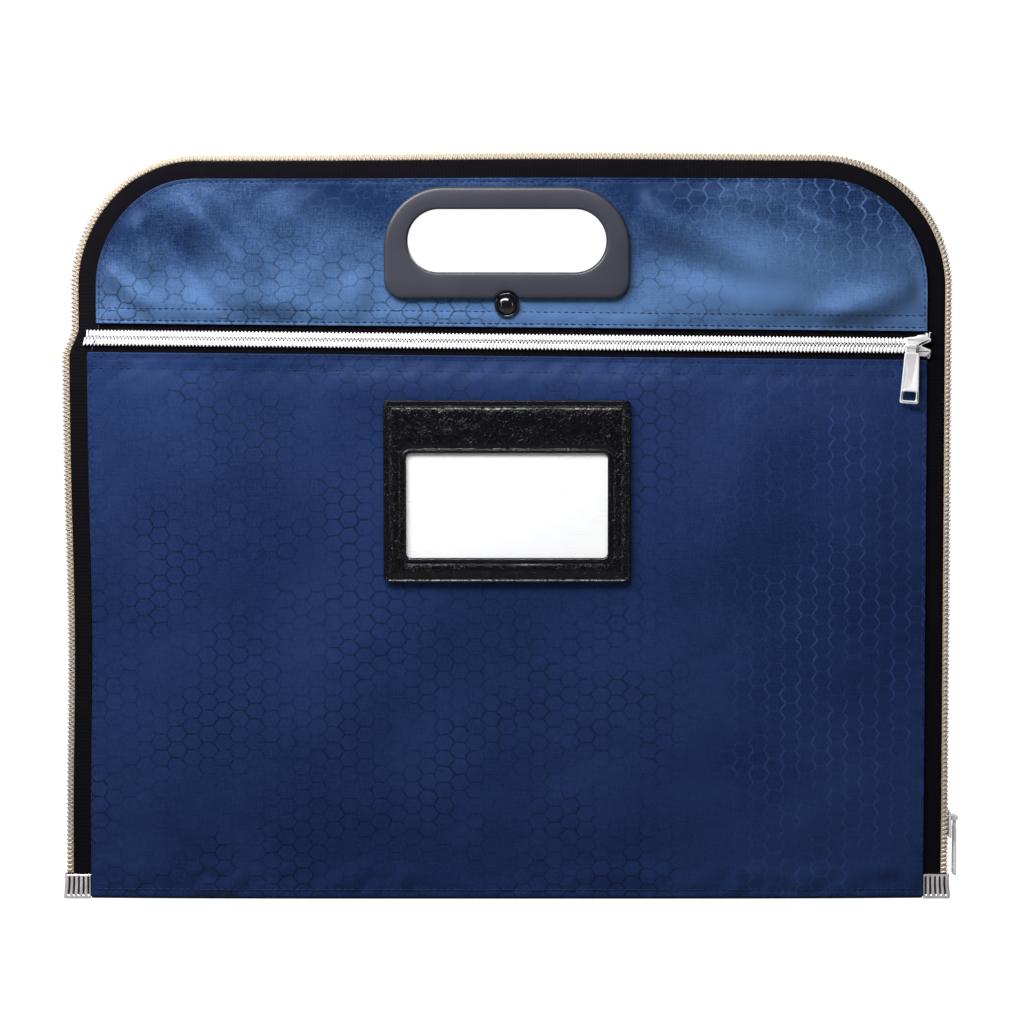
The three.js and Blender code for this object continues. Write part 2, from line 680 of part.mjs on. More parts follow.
atSnap('snap_stud', turned([
  [0, -baseFace], [SNAP_BASE_RADIUS, -baseFace], [SNAP_BASE_RADIUS, -socketFloor],
  [SNAP_POST_RADIUS * 0.85, -socketFloor], [SNAP_POST_RADIUS * 0.85, 0],
  [SNAP_POST_RADIUS, socketEnd + 0.5], [SNAP_POST_RADIUS * 0.8, socketFloor - SNAP_CLEARANCE],
  [0, socketFloor - SNAP_CLEARANCE],
]), steel);

atSnap('snap_back_cap', turned([
  [0, -shaftEnd], [SNAP_SHAFT, -shaftEnd], [SNAP_SHAFT, -capBack],
  [SNAP_RADIUS * 0.85, -capBack], [SNAP_RADIUS * 0.85, -capBack - 0.6],
  [SNAP_RADIUS * 0.5, -capBack - 1.4], [0, -capBack - 1.6],
]), blackGloss);

// ---- The card holder -----------------------------------------------------------------------

const floorBack = -EDGE_HALF_DEPTH - BULGE - GAP;
const floorFront = floorBack - HOLDER_FLOOR;
const cardBack = floorFront - GAP;
const paneBack = cardBack - CARD - GAP;
const paneFront = paneBack - PANE;
const faceBack = paneFront - GAP;
const holderTop = zipLine - HOLDER_BELOW_ZIP;
const holderBottom = holderTop - CARD_HEIGHT - HOLDER_TALLER;
const holderReach = CARD_WIDTH / 2 + HOLDER_SIDE;

function holderOutline() {
  return roundedOutline(-holderReach, holderReach, holderBottom, holderTop, HOLDER_RADIUS, HOLDER_RADIUS);
}

function holderBack() {
  const slab = plate(holderOutline(), floorBack, paneFront);
  const hollowReach = holderReach - HOLDER_RIM;
  const floor = holderBottom + HOLDER_RIM;
  const hollow = box(-hollowReach, hollowReach, 2 * faceBack, floorFront, floor, holderTop + 1);
  return cut(slab, hollow);
}

function windowPath(grow, Kind) {
  const reach = CARD_WIDTH / 2 - WINDOW_SIDE + grow;
  const low = holderBottom + WINDOW_ABOVE_FOOT;
  const high = low + CARD_HEIGHT - WINDOW_SHORTER;
  return roundedOutline(-reach, reach, low - grow, high + grow, 2, 2, Kind);
}

function holderFace() {
  const outline = holderOutline();
  outline.holes.push(windowPath(0, THREE.Path));
  return plate(outline, faceBack, faceBack - HOLDER_FACE, 0.2);
}

add('card_holder_back', holderBack(), blackVinyl);
add('card_holder_face', holderFace(), blackVinyl);
add('card_window', plate(windowPath(WINDOW_LAP, THREE.Shape), paneBack, paneFront), clearFilm);

const cardBottom = holderBottom + HOLDER_RIM + GAP;
const cardTop = cardBottom + CARD_HEIGHT;
const cardReach = CARD_WIDTH / 2;
add('name_card', box(-cardReach, cardReach, cardBack - CARD, cardBack, cardBottom, cardTop), paper);

export default bag;
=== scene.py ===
# %% [markdown]
# # A zipped cash deposit bag, step by step
# This lesson builds a flat nylon deposit bag around a CAD model that already fixes its size. The CAD
# part is loaded first. Every soft piece is then worked out again as a fine surface, in numpy, and the
# CAD solid that it stands for is hidden. The bag stands upright, its front looks to -Y and Z is up.

# %% Load the CAD frame
import math

import bpy
import numpy as np
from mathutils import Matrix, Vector


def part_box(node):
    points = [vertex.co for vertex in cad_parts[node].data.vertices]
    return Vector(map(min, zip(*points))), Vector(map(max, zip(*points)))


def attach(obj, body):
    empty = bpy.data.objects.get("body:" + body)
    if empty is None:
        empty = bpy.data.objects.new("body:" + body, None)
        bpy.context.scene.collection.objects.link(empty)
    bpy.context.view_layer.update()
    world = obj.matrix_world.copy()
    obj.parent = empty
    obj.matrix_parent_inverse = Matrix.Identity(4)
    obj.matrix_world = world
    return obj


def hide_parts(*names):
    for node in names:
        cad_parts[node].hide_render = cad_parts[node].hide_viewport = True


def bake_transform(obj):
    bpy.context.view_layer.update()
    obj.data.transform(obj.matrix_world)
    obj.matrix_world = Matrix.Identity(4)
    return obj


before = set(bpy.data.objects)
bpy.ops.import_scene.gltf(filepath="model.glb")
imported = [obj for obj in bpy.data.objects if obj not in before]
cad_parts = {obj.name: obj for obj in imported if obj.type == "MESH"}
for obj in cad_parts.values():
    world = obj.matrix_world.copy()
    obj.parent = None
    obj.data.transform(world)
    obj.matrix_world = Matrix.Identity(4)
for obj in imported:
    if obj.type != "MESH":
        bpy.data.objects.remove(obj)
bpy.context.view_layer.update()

# %% [markdown]
# ## Measures
# The shapes are worked out in millimetres, because the pieces of a bag are a few millimetres thick,
# and turned into metres only when a mesh is made. The main lines of the bag are read from the CAD
# nodes, so that the fine surfaces land exactly where the solids are.

# %% Read the bag's lines from the CAD nodes
MM = 0.001


def span(node):
    """Lowest and highest corner of a CAD node, in millimetres."""
    low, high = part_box(node)
    return np.array(low) / MM, np.array(high) / MM


ZIP_LOW, ZIP_HIGH = span("main_zip_coil_front")
HALF = ZIP_HIGH[0]                       # middle of the bag to the outside of the zip
TOP = ZIP_HIGH[2]
ZIP_FOOT = ZIP_LOW[2]
CLOTH_HALF = span("pocket_panel")[1][0]
CLOTH_TOP = span("back_panel")[1][2]
CORNER = 56.0                            # radius of the zip's outer line at the top corners
CLOTH_CORNER = CORNER - (HALF - CLOTH_HALF)
CORNER_START = TOP - CORNER
EDGE_DEPTH = 5.0                         # middle plane to the outside of the cloth, at its edges
FOLD_DEPTH = 3.4
PINCH_HEIGHT = 45.0
BULGE = span("back_panel")[1][1] - EDGE_DEPTH
CLOTH = 0.8
GRIP_LOW, GRIP_HIGH = span("front_handle_plate")
HOLDER_LOW, HOLDER_HIGH = span("card_holder_back")
SNAP = np.mean(span("snap_cap"), axis=0)
ZIP_SLOPE = 0.0095
ZIP_LINE = np.mean(span("pocket_zip_coil_upper"), axis=0)[2] - 1.8
ZIP_MARGIN = 6.0                         # middle of the pocket zip to the folded edge of the cloth
HOLDER_REST = 8.45                       # depth of the cloth right behind the card holder
print(f"half width {HALF:.1f}, top {TOP:.1f}, pocket zip at {ZIP_LINE:.1f} mm")


# %% [markdown]
# ## The shape of a filled bag
# A flat bag is not a box: it is thin along its sewn edges, pinched at the bottom corners and bulges a
# little in the middle. One formula for the depth at any place (x, z) keeps the panels, the stitches and
# the card holder together. Folds are added to it as soft ridges: the long ones are placed where the
# stiff grip, the snap and the zip hold the cloth back, and many faint ones come from a seeded random
# draw. A formula is used instead of a cloth simulation, because the panels are sewn tight on all
# sides, and their few shallow folds have known places.

# %% Depth of the cloth
def smooth(t):
    """0 below 0, 1 above 1, and 3t^2 - 2t^3 between them."""
    t = np.clip(t, 0.0, 1.0)
    return t * t * (3.0 - 2.0 * t)


def pinch(z):
    """Share of the full depth at a height: the bottom corners are thinner."""
    low = FOLD_DEPTH / EDGE_DEPTH
    return low + (1.0 - low) * smooth(z / PINCH_HEIGHT)


def zip_height(x):
    """Middle line of the pocket zip, which falls a little to the right."""
    return ZIP_LINE - ZIP_SLOPE * x


def plain_depth(x, z):
    """Edge depth plus a bulge that is 1 - (x / half)^4 across and fades out below the zip, all pinched."""
    across = np.clip(1.0 - (x / CLOTH_HALF) ** 4, 0.0, None)
    fade = 1.0 - smooth((z - (ZIP_LINE - 70.0)) / 62.0)
    return (EDGE_DEPTH + BULGE * across * fade) * pinch(z)


def ridge(x, z, start, end, width, height):
    """A fold: a bell curve across the line from start to end that fades out towards both ends."""
    start, end = np.array(start), np.array(end)
    length = np.hypot(*(end - start))
    ahead = (end - start) / length
    along = ((x - start[0]) * ahead[0] + (z - start[1]) * ahead[1]) / length
    aside = (z - start[1]) * ahead[0] - (x - start[0]) * ahead[1]
    ends = smooth((along + 0.25) / 0.5) * smooth((1.25 - along) / 0.5)
    return height * np.exp(-((aside / width) ** 2)) * ends


def ripples(x, z, seed, count, shortest, longest):
    """A sum of seeded sine waves in random directions, scaled to about -1 to 1."""
    draw = np.random.default_rng(seed)
    total = np.zeros(np.broadcast(x, z).shape)
    for _ in range(count):
        turn, phase = draw.uniform(0, 2 * math.pi, 2)
        wave = 2 * math.pi / draw.uniform(shortest, longest)
        total = total + np.sin(wave * (x * math.cos(turn) + z * math.sin(turn)) + phase)
    return total / math.sqrt(count)


# Start, end, half width and height of the folds in the upper front panel.
UPPER_FOLDS = [
    ((-134, 293), (-104, 261), 8.5, 6.2),
    ((-147, 283), (-121, 251), 5.5, -2.8),
    ((-159, 288), (-151, 264), 6.0, 2.6),
    ((-173, 266), (-152, 250), 4.5, 3.0),
    ((-127, 259), (-90, 251), 7.0, 2.8),
    ((-96, 292), (-70, 268), 10.0, 3.8),
    ((-84, 266), (-58, 254), 7.0, 2.0),
    ((56, 290), (122, 262), 10.0, 5.8),
    ((58, 275), (104, 253), 7.0, -2.4),
    ((84, 298), (150, 281), 6.5, 2.6),
    ((72, 258), (128, 250), 6.5, 2.6),
    ((132, 245), (168, 257), 7.0, 3.8),
    ((126, 284), (163, 262), 8.5, 4.2),
    ((-60, 305), (-45, 296), 5.0, 1.2),
]
# The pocket panel hangs nearly smooth, with long soft folds down from the zip.
POCKET_FOLDS = [
    ((-158, 222), (-112, 130), 16.0, 2.0),
    ((-124, 208), (-84, 150), 12.0, 1.1),
    ((-70, 120), (-90, 30), 24.0, 1.3),
    ((104, 214), (84, 120), 18.0, 1.4),
    ((152, 200), (134, 60), 16.0, 1.5),
    ((20, 100), (60, 24), 22.0, 1.3),
    ((-20, 60), (-10, 12), 14.0, 0.8),
    ((-166, 70), (-120, 20), 10.0, 0.6),
    ((160, 60), (110, 18), 10.0, 0.6),
    ((-172, 16), (-140, 9), 3.0, 0.5),
    ((-112, 10), (-84, 14), 3.4, 0.5),
    ((-60, 14), (-30, 9), 3.0, 0.4),
    ((24, 9), (58, 13), 3.4, 0.5),
    ((88, 13), (120, 9), 3.2, 0.5),
    ((138, 9), (166, 15), 3.6, 0.6),
]
BACK_FOLDS = [
    ((-150, 280), (-60, 200), 14.0, 1.3),
    ((150, 285), (70, 210), 14.0, 1.3),
    ((-160, 190), (-110, 60), 20.0, 1.0),
    ((150, 170), (120, 40), 18.0, 1.0),
    ((-60, 230), (60, 222), 9.0, 0.8),
    ((-30, 190), (40, 90), 24.0, 1.0),
    ((-120, 14), (-60, 9), 3.4, 0.5),
    ((30, 9), (100, 14), 3.4, 0.5),
]


def near_box(x, z, low, high, fade):
    """1 inside a rectangle in X and Z, falling to 0 over a distance outside it."""
    across = smooth((x - low[0] + fade) / fade) * smooth((high[0] + fade - x) / fade)
    upright = smooth((z - low[1] + fade) / fade) * smooth((high[1] + fade - z) / fade)
    return across * upright


GRIP_BOX = ((GRIP_LOW[0], SNAP[2] - 4.0), (GRIP_HIGH[0], GRIP_HIGH[2]))
HOLDER_BOX = ((HOLDER_LOW[0], HOLDER_LOW[2]), (HOLDER_HIGH[0], HOLDER_HIGH[2]))

def under_holder(x, z):
    """1 behind the card holder, fading out slowly to the sides and below, and up to the zip's hem."""
    (left, low), (right, high) = HOLDER_BOX
    aside, below, above = 48.0, 40.0, 23.0
    across = smooth((x - left + aside) / aside) * smooth((right + aside - x) / aside)
    return across * smooth((z - low + below) / below) * smooth((high + above - z) / above)


def folds(x, z, chosen, seed, faint):
    """Listed ridges plus faint seeded ripples, held down to nothing around the stiff grip."""
    total = sum(ridge(x, z, *fold) for fold in chosen)
    total = total + faint * ripples(x, z, seed, 26, 16.0, 60.0)
    return total * (1.0 - near_box(x, z, *GRIP_BOX, 9.0))


LEAN = 2.2                               # how far the upper panel's lower edge stands out
SWELL = 1.0                              # how far the pocket panel swells below its hem


def front_depth(x, z):
    """Depth of the front cloth: the plain depth with its folds, brought up to the card holder's back."""
    upper = smooth((z - ZIP_LINE) / 4.0)
    upper_part = folds(x, z, UPPER_FOLDS, 7, 0.16)
    pocket_part = folds(x, z, POCKET_FOLDS, 11, 0.13)
    lean = LEAN * smooth((CLOTH_TOP - 4.0 - z) / 58.0) * smooth((CLOTH_HALF - np.abs(x)) / 34.0)
    lean = lean * (1.0 - near_box(x, z, *GRIP_BOX, 14.0))
    swell = SWELL * smooth((ZIP_LINE - 7.0 - z) / 15.0) * smooth((CLOTH_HALF - np.abs(x)) / 24.0)
    swell = swell * smooth((z - 20.0) / 150.0)
    creased = plain_depth(x, z) + upper * (upper_part + lean) + (1.0 - upper) * (pocket_part + swell)
    return creased + under_holder(x, z) * (HOLDER_REST - creased)


def back_depth(x, z):
    """Depth of the back cloth, with its own folds."""
    return plain_depth(x, z) + folds(x, z, BACK_FOLDS, 23, 0.18)


def relax(points):
    """Moves soft pieces off the straight CAD lines: the left side steps in above the pocket zip and
    bows in below it, and the top edge rises a little in the middle."""
    x, z = points[..., 0], points[..., 2]
    left = smooth((-x - 118.0) / 62.0)
    step_in = 4.0 * smooth((z - (ZIP_LINE - 7.0)) / 13.0)
    bow_in = 1.4 * np.exp(-(((z - 112.0) / 58.0) ** 2))
    crown = (0.9 * np.exp(-(((x - 28.0) / 75.0) ** 2)) - 0.4) * smooth((z - 300.0) / 6.0)
    moved = points.copy()
    moved[..., 0] = x + left * (step_in + bow_in)
    moved[..., 2] = z + crown
    return moved


print(f"bulge {BULGE:.1f} mm, {len(UPPER_FOLDS) + len(POCKET_FOLDS)} folds placed on the front")


# %% [markdown]
# ## From arrays to a mesh
# Each piece is a grid of points joined by quads. A grid may close on itself like a tube, and its two
# open ends then get a cap. The volume under the faces tells whether they look outwards, and a
# negative one turns them all over. foreach_set copies whole arrays into the mesh at once, which is much
# faster than a loop over vertices.

# %% Helpers that turn grids into closed bodies
def grid_quads(rows, columns, loop_rows=False, loop_columns=False):
    """Corner numbers of every quad of a grid, and the same for its unrolled UV grid."""
    r = np.arange(rows if loop_rows else rows - 1)[:, None]
    c = np.arange(columns if loop_columns else columns - 1)[None, :]
    corners = [(r, c), (r, c + 1), (r + 1, c + 1), (r + 1, c)]
    point = [((a % rows) * columns + (b % columns)).ravel() for a, b in corners]
    wide = columns + 1
    unrolled = [(a * wide + b).ravel() for a, b in corners]
    return np.stack(point, 1), np.stack(unrolled, 1)


def signed_volume(points, faces):
    """Six times the volume that the faces enclose, from a fan of triangles on each face."""
    total = 0.0
    for group in faces:
        first = points[group[:, 0]]
        for i in range(1, group.shape[1] - 1):
            total += np.sum(first * np.cross(points[group[:, i]], points[group[:, i + 1]]))
    return total


def facing_out(points, faces, uvs):
    """The same body with every face turned over if it was inside out."""
    if signed_volume(points - points.mean(0), faces) < 0:
        faces = [group[:, ::-1] for group in faces]
        uvs = [group[:, ::-1] for group in uvs]
    return points, faces, uvs


def tube_body(grid, loop_rows=False, uv=None):
    """A closed body from rows of section points: the sections are joined, and the ends capped."""
    rows, columns = grid.shape[:2]
    quads, unrolled = grid_quads(rows, columns, loop_rows, True)
    points = grid.reshape(-1, 3)
    if uv is None:
        u, v = np.meshgrid(np.arange(rows + 1), np.arange(columns + 1), indexing="ij")
        uv = np.stack([u, v], -1).astype(float)
    flat_uv = uv.reshape(-1, 2)
    faces, uvs = [quads], [flat_uv[unrolled]]
    if not loop_rows:
        first = np.arange(columns)[None, :]
        last = first[:, ::-1] + (rows - 1) * columns
        faces += [first[:, ::-1], last[:, ::-1]]
        uvs += [np.zeros((1, columns, 2)), np.zeros((1, columns, 2))]
    return facing_out(points, faces, uvs)


def shell_body(outer, inner, keep=None):
    """A closed sheet between two grids. Walls close it along its rim and round every quad left out."""
    rows, columns = outer.shape[:2]
    count = rows * columns
    if keep is None:
        keep = np.ones((rows - 1, columns - 1), bool)
    framed = np.zeros((rows + 1, columns + 1), bool)
    framed[1:-1, 1:-1] = keep
    number = np.arange(count).reshape(rows, columns)
    quads = grid_quads(rows, columns)[0].reshape(rows - 1, columns - 1, 4)[keep]
    walls = []
    across = framed[:-1, 1:-1].astype(int) - framed[1:, 1:-1]
    for sign in (1, -1):
        r, c = np.nonzero(across == sign)
        a, b = number[r, c], number[r, c + 1]
        a, b = (b, a) if sign > 0 else (a, b)
        walls.append(np.stack([b, a, a + count, b + count], 1))
    upright = framed[1:-1, :-1].astype(int) - framed[1:-1, 1:]
    for sign in (1, -1):
        r, c = np.nonzero(upright == sign)
        a, b = number[r, c], number[r + 1, c]
        a, b = (a, b) if sign > 0 else (b, a)
        walls.append(np.stack([b, a, a + count, b + count], 1))
    faces = np.concatenate([quads, quads[:, ::-1] + count] + walls)
    points = np.concatenate([outer.reshape(-1, 3), inner.reshape(-1, 3)])
    used, faces = np.unique(faces, return_inverse=True)
    points, faces = points[used], faces.reshape(-1, 4)
    uv = points[:, [0, 2]] / 10.0
    return facing_out(points, [faces], [uv[faces]])


def merged(bodies):
    """Several closed bodies as one."""
    points, faces, uvs, start = [], [], [], 0
    for body_points, body_faces, body_uvs in bodies:
        points.append(body_points)
        faces += [group + start for group in body_faces]
        uvs += body_uvs
        start += len(body_points)
    return np.concatenate(points), faces, uvs


def add_piece(name, body, rides, material, stands_for=(), angle=38.0):
    """Makes the mesh object, gives it its finish, and tells the frame what it rides on."""
    points, faces, uvs = body
    sizes = np.concatenate([np.full(len(group), group.shape[1]) for group in faces])
    corners = np.concatenate([group.ravel() for group in faces])
    mesh = bpy.data.meshes.new(name)
    mesh.vertices.add(len(points))
    mesh.vertices.foreach_set("co", (points * MM).astype(np.float32).ravel())
    mesh.loops.add(len(corners))
    mesh.loops.foreach_set("vertex_index", corners.astype(np.int32))
    mesh.polygons.add(len(sizes))
    starts = np.concatenate([[0], np.cumsum(sizes)[:-1]])
    mesh.polygons.foreach_set("loop_start", starts.astype(np.int32))
    mesh.update(calc_edges=True)
    layer = mesh.uv_layers.new(name="UVMap")
    flat = np.concatenate([group.reshape(-1, 2) for group in uvs])
    layer.uv.foreach_set("vector", flat.astype(np.float32).ravel())
    mesh.shade_smooth()
    mesh.set_sharp_from_angle(angle=math.radians(angle))
    mesh.materials.append(material)
    piece = bpy.data.objects.new(name, mesh)
    bpy.context.scene.collection.objects.link(piece)
    if rides:
        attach(piece, rides)
    if stands_for:
        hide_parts(*stands_for)
    print(f"{name}: {int(np.sum(sizes - 2))} triangles")
    return piece


# %% [markdown]
# ## Shader helpers
# Materials are node trees. Two short helpers keep them readable: one makes a node and fills or links
# its inputs, the other makes a Math node. Effects that several materials share, such as a weave or a
# grain, are node groups that give out only heights, masks and colours, so that they can be exported.

# %% Node helpers
def new_node(tree, kind, settings=None, inputs=None):
    """A shader node with its settings, and its inputs set to a value or linked to a socket."""
    made = tree.nodes.new(kind)
    for key, value in (settings or {}).items():
        setattr(made, key, value)
    for key, value in (inputs or {}).items():
        if isinstance(value, bpy.types.NodeSocket):
            tree.links.new(value, made.inputs[key])
        else:
            made.inputs[key].default_value = value
    return made


def calc(tree, operation, *values, clamp=False):
    """A Math node's result."""
    inputs = dict(enumerate(values))
    return new_node(tree, "ShaderNodeMath", {"operation": operation, "use_clamp": clamp}, inputs).outputs[0]


def vector_calc(tree, operation, *values, result=0):
    """A Vector Math node's result."""
    inputs = dict(enumerate(values))
    return new_node(tree, "ShaderNodeVectorMath", {"operation": operation}, inputs).outputs[result]


def between(tree, value, low, high, to_low=0.0, to_high=1.0):
    """A value carried smoothly from one range to another."""
    inputs = {"Value": value, 1: low, 2: high, 3: to_low, 4: to_high}
    return new_node(tree, "ShaderNodeMapRange", {"interpolation_type": "SMOOTHSTEP"}, inputs).outputs[0]


def blend_colors(tree, share, first, second):
    """Two colours mixed by a share from 0 to 1."""
    inputs = {0: share, 6: first, 7: second}
    return new_node(tree, "ShaderNodeMix", {"data_type": "RGBA"}, inputs).outputs[2]


def noise(tree, vector, scale, detail=2.0, roughness=0.5):
    """A noise value from 0 to 1."""
    inputs = {"Vector": vector, "Scale": scale, "Detail": detail, "Roughness": roughness}
    return new_node(tree, "ShaderNodeTexNoise", None, inputs).outputs["Fac"]


def start_group(name, inputs, outputs):
    """An empty node group with named sockets, and its first and last node."""
    group = bpy.data.node_groups.new(name, "ShaderNodeTree")
    for label, kind, value in inputs:
        socket = group.interface.new_socket(name=label, in_out="INPUT", socket_type=kind)
        if value is not None:
            socket.default_value = value
    for label, kind in outputs:
        group.interface.new_socket(name=label, in_out="OUTPUT", socket_type=kind)
    return group, group.nodes.new("NodeGroupInput").outputs, group.nodes.new("NodeGroupOutput").inputs


def use_group(tree, group, inputs):
    """A node group placed in a material."""
    return new_node(tree, "ShaderNodeGroup", {"node_tree": group}, inputs).outputs


FLOAT, VECTOR = "NodeSocketFloat", "NodeSocketVector"

# %% [markdown]
# ## Shared effects
# The nylon has a plain weave and, woven into it, lines that form a honeycomb. A honeycomb is the set of
# places that lie equally far from two centres of a triangular lattice. Wrapping the plane twice, with
# the second copy moved by half a cell, gives the vector to the nearest centre, and the largest of its
# two projections reaches one half exactly on a line. The other groups are a tape's ribs, a fine grain
# and the creases of embossed vinyl.

# %% Honeycomb, weave, rib, grain and crease groups
def honeycomb_group(column_pitch=6.6, row_pitch=6.7):
    """Line is 1 on the woven hexagon lines, and Slant is 1 on their slanted ones. The vector comes in
    centimetres of cloth."""
    outputs = [("Line", FLOAT), ("Slant", FLOAT)]
    group, given, result = start_group("HoneycombLines", [("Vector", VECTOR, None)], outputs)
    half_step = (math.sqrt(3) / 2, 0.5, 1.0)
    back_step = (-half_step[0], -0.5, -1.0)
    sizes = (10 * half_step[0] / column_pitch, 10 / row_pitch, 0.0)
    place = vector_calc(group, "MULTIPLY", given["Vector"], sizes)
    wobble = new_node(group, "ShaderNodeTexNoise", None, {"Vector": place, "Scale": 2.3, "Detail": 3.0})
    shift = vector_calc(group, "SUBTRACT", wobble.outputs["Color"], (0.5, 0.5, 0.5))
    flat_shift = vector_calc(group, "MULTIPLY", shift, (0.24, 0.24, 0.0))
    place = vector_calc(group, "ADD", place, flat_shift)
    first = vector_calc(group, "WRAP", place, half_step, back_step)
    moved = vector_calc(group, "SUBTRACT", place, (half_step[0], 0.5, 0.0))
    second = vector_calc(group, "WRAP", moved, half_step, back_step)
    lengths = [vector_calc(group, "LENGTH", v, result="Value") for v in (first, second)]
    nearer = calc(group, "LESS_THAN", *lengths)
    pick = new_node(group, "ShaderNodeMix", {"data_type": "VECTOR"}, {0: nearer, 4: second, 5: first})
    reach = vector_calc(group, "ABSOLUTE", pick.outputs[1])
    slanted = vector_calc(group, "DOT_PRODUCT", reach, (half_step[0], 0.5, 0.0), result="Value")
    level = vector_calc(group, "DOT_PRODUCT", reach, (0.0, 1.0, 0.0), result="Value")
    distance = calc(group, "MAXIMUM", slanted, level)
    group.links.new(between(group, distance, 0.42, 0.485), result["Line"])
    group.links.new(between(group, calc(group, "SUBTRACT", slanted, level), -0.02, 0.05), result["Slant"])
    return group


def weave_group():
    """Plain weave: the product of two sine waves, one along each thread. Pitch in centimetres."""
    inputs = [("Vector", VECTOR, None), ("Pitch", FLOAT, 0.06)]
    group, given, result = start_group("PlainWeave", inputs, [("Height", FLOAT), ("Slub", FLOAT)])
    parts = new_node(group, "ShaderNodeSeparateXYZ", None, {0: given["Vector"]}).outputs
    rate = calc(group, "DIVIDE", 2 * math.pi, given["Pitch"])
    waves = [calc(group, "SINE", calc(group, "MULTIPLY", part, rate)) for part in (parts[0], parts[1])]
    height = calc(group, "MULTIPLY_ADD", calc(group, "MULTIPLY", *waves), 0.5, 0.5)
    group.links.new(height, result["Height"])
    weft = noise(group, vector_calc(group, "MULTIPLY", given["Vector"], (1.2, 22.0, 1.0)), 1.0, 3.0)
    warp = noise(group, vector_calc(group, "MULTIPLY", given["Vector"], (24.0, 1.4, 1.0)), 1.0, 3.0)
    group.links.new(calc(group, "MULTIPLY", calc(group, "ADD", weft, warp), 0.5), result["Slub"])
    return group


def rib_group():
    """Fine ribs across a tape: the size of a sine wave along it. Pitch in centimetres."""
    inputs = [("Along", FLOAT, 0.0), ("Pitch", FLOAT, 0.058)]
    group, given, result = start_group("TapeRibs", inputs, [("Height", FLOAT)])
    turn = calc(group, "DIVIDE", calc(group, "MULTIPLY", given["Along"], math.pi), given["Pitch"])
    group.links.new(calc(group, "ABSOLUTE", calc(group, "SINE", turn)), result["Height"])
    return group


def grain_group():
    """Two layers of noise: a fine height, and a slow mask for uneven gloss and colour."""
    inputs = [("Vector", VECTOR, None), ("Fine", FLOAT, 1800.0), ("Slow", FLOAT, 40.0)]
    group, given, result = start_group("SurfaceGrain", inputs, [("Height", FLOAT), ("Mask", FLOAT)])
    group.links.new(noise(group, given["Vector"], given["Fine"], 3.0), result["Height"])
    group.links.new(noise(group, given["Vector"], given["Slow"], 4.0, 0.6), result["Mask"])
    return group


def crease_group():
    """Long, mostly upright creases: the narrow valleys of two stretched and bent noises."""
    group, given, result = start_group("VinylCreases", [("Vector", VECTOR, None)], [("Height", FLOAT)])
    bend = new_node(group, "ShaderNodeTexNoise", None, {"Vector": given["Vector"], "Scale": 90.0})
    shift = vector_calc(group, "SUBTRACT", bend.outputs["Color"], (0.5, 0.5, 0.5))
    place = vector_calc(group, "ADD", given["Vector"], vector_calc(group, "MULTIPLY", shift, (0.006,) * 3))
    heights = []
    for stretch in ((430.0, 430.0, 110.0), (800.0, 800.0, 380.0)):
        value = noise(group, vector_calc(group, "MULTIPLY", place, stretch), 1.0, 2.0)
        off = calc(group, "ABSOLUTE", calc(group, "SUBTRACT", value, 0.5))
        heights.append(between(group, off, 0.0, 0.04))
    pebble = noise(group, given["Vector"], 1500.0, 2.0)
    deep = calc(group, "MULTIPLY", heights[0], 0.6)
    shallow = calc(group, "MULTIPLY", heights[1], 0.25)
    total = calc(group, "ADD", calc(group, "ADD", deep, shallow), calc(group, "MULTIPLY", pebble, 0.3))
    group.links.new(total, result["Height"])
    return group


HONEYCOMB = honeycomb_group()
WEAVE = weave_group()
RIBS = rib_group()
GRAIN = grain_group()
CREASES = crease_group()
print("shared effects:", [g.name for g in bpy.data.node_groups])


# %% [markdown]
# ## Materials
# Each finish starts from one Principled shader. Constants sit on its own sockets, and what changes over
# the surface, such as colour, roughness and height, comes from the groups.

# %% Helper that starts a material
def start_material(name, settings):
    """A material with a Principled shader and its plain values; returns it with its tree and shader."""
    material = bpy.data.materials.new(name)
    material.use_nodes = True
    tree = material.node_tree
    shader = tree.nodes["Principled BSDF"]
    for key, value in settings.items():
        shader.inputs[key].default_value = value
    return material, tree, shader


def add_bump(tree, shader, height, distance, strength=1.0, below=None):
    """A Bump node on the shader's normal, on top of another bump if one is given."""
    inputs = {"Height": height, "Distance": distance, "Strength": strength}
    if below is not None:
        inputs["Normal"] = below
    normal = new_node(tree, "ShaderNodeBump", None, inputs).outputs[0]
    tree.links.new(normal, shader.inputs["Normal"])
    return normal


def object_place(tree):
    """Places on the object itself, in metres."""
    return new_node(tree, "ShaderNodeTexCoord").outputs["Object"]


def cloth_place(tree):
    """The piece's own UV map, in centimetres of cloth or tape."""
    return new_node(tree, "ShaderNodeUVMap", {"uv_map": "UVMap"}).outputs[0]


# %% [markdown]
# The outer cloth is satin navy nylon. Its honeycomb lines are darker than the ground on most of the bag.
# Towards the right they are painted lighter than the ground and their level lines fade, a painted sheen
# for the light that the lines catch there; all lines also fade in and out. Thin slubs run along both
# threads. A weak blue sheen gives the bloom that a satin weave has where it turns away. The upper panel
# is a painted lit copy of the nylon: its lighter ground colour is painted light from above, its stronger
# tone patches partly stand for satin bloom, and painted light by height makes it paler towards the zip
# and darker towards its top.

# %% Navy nylon and its lining
PAINTED_LIGHT_HEIGHTS = (0.299, 0.243)          # metres: painted shade at the first height, painted light at the second
DARK_LINE = 0.26                         # a dark honeycomb line's share of the ground colour


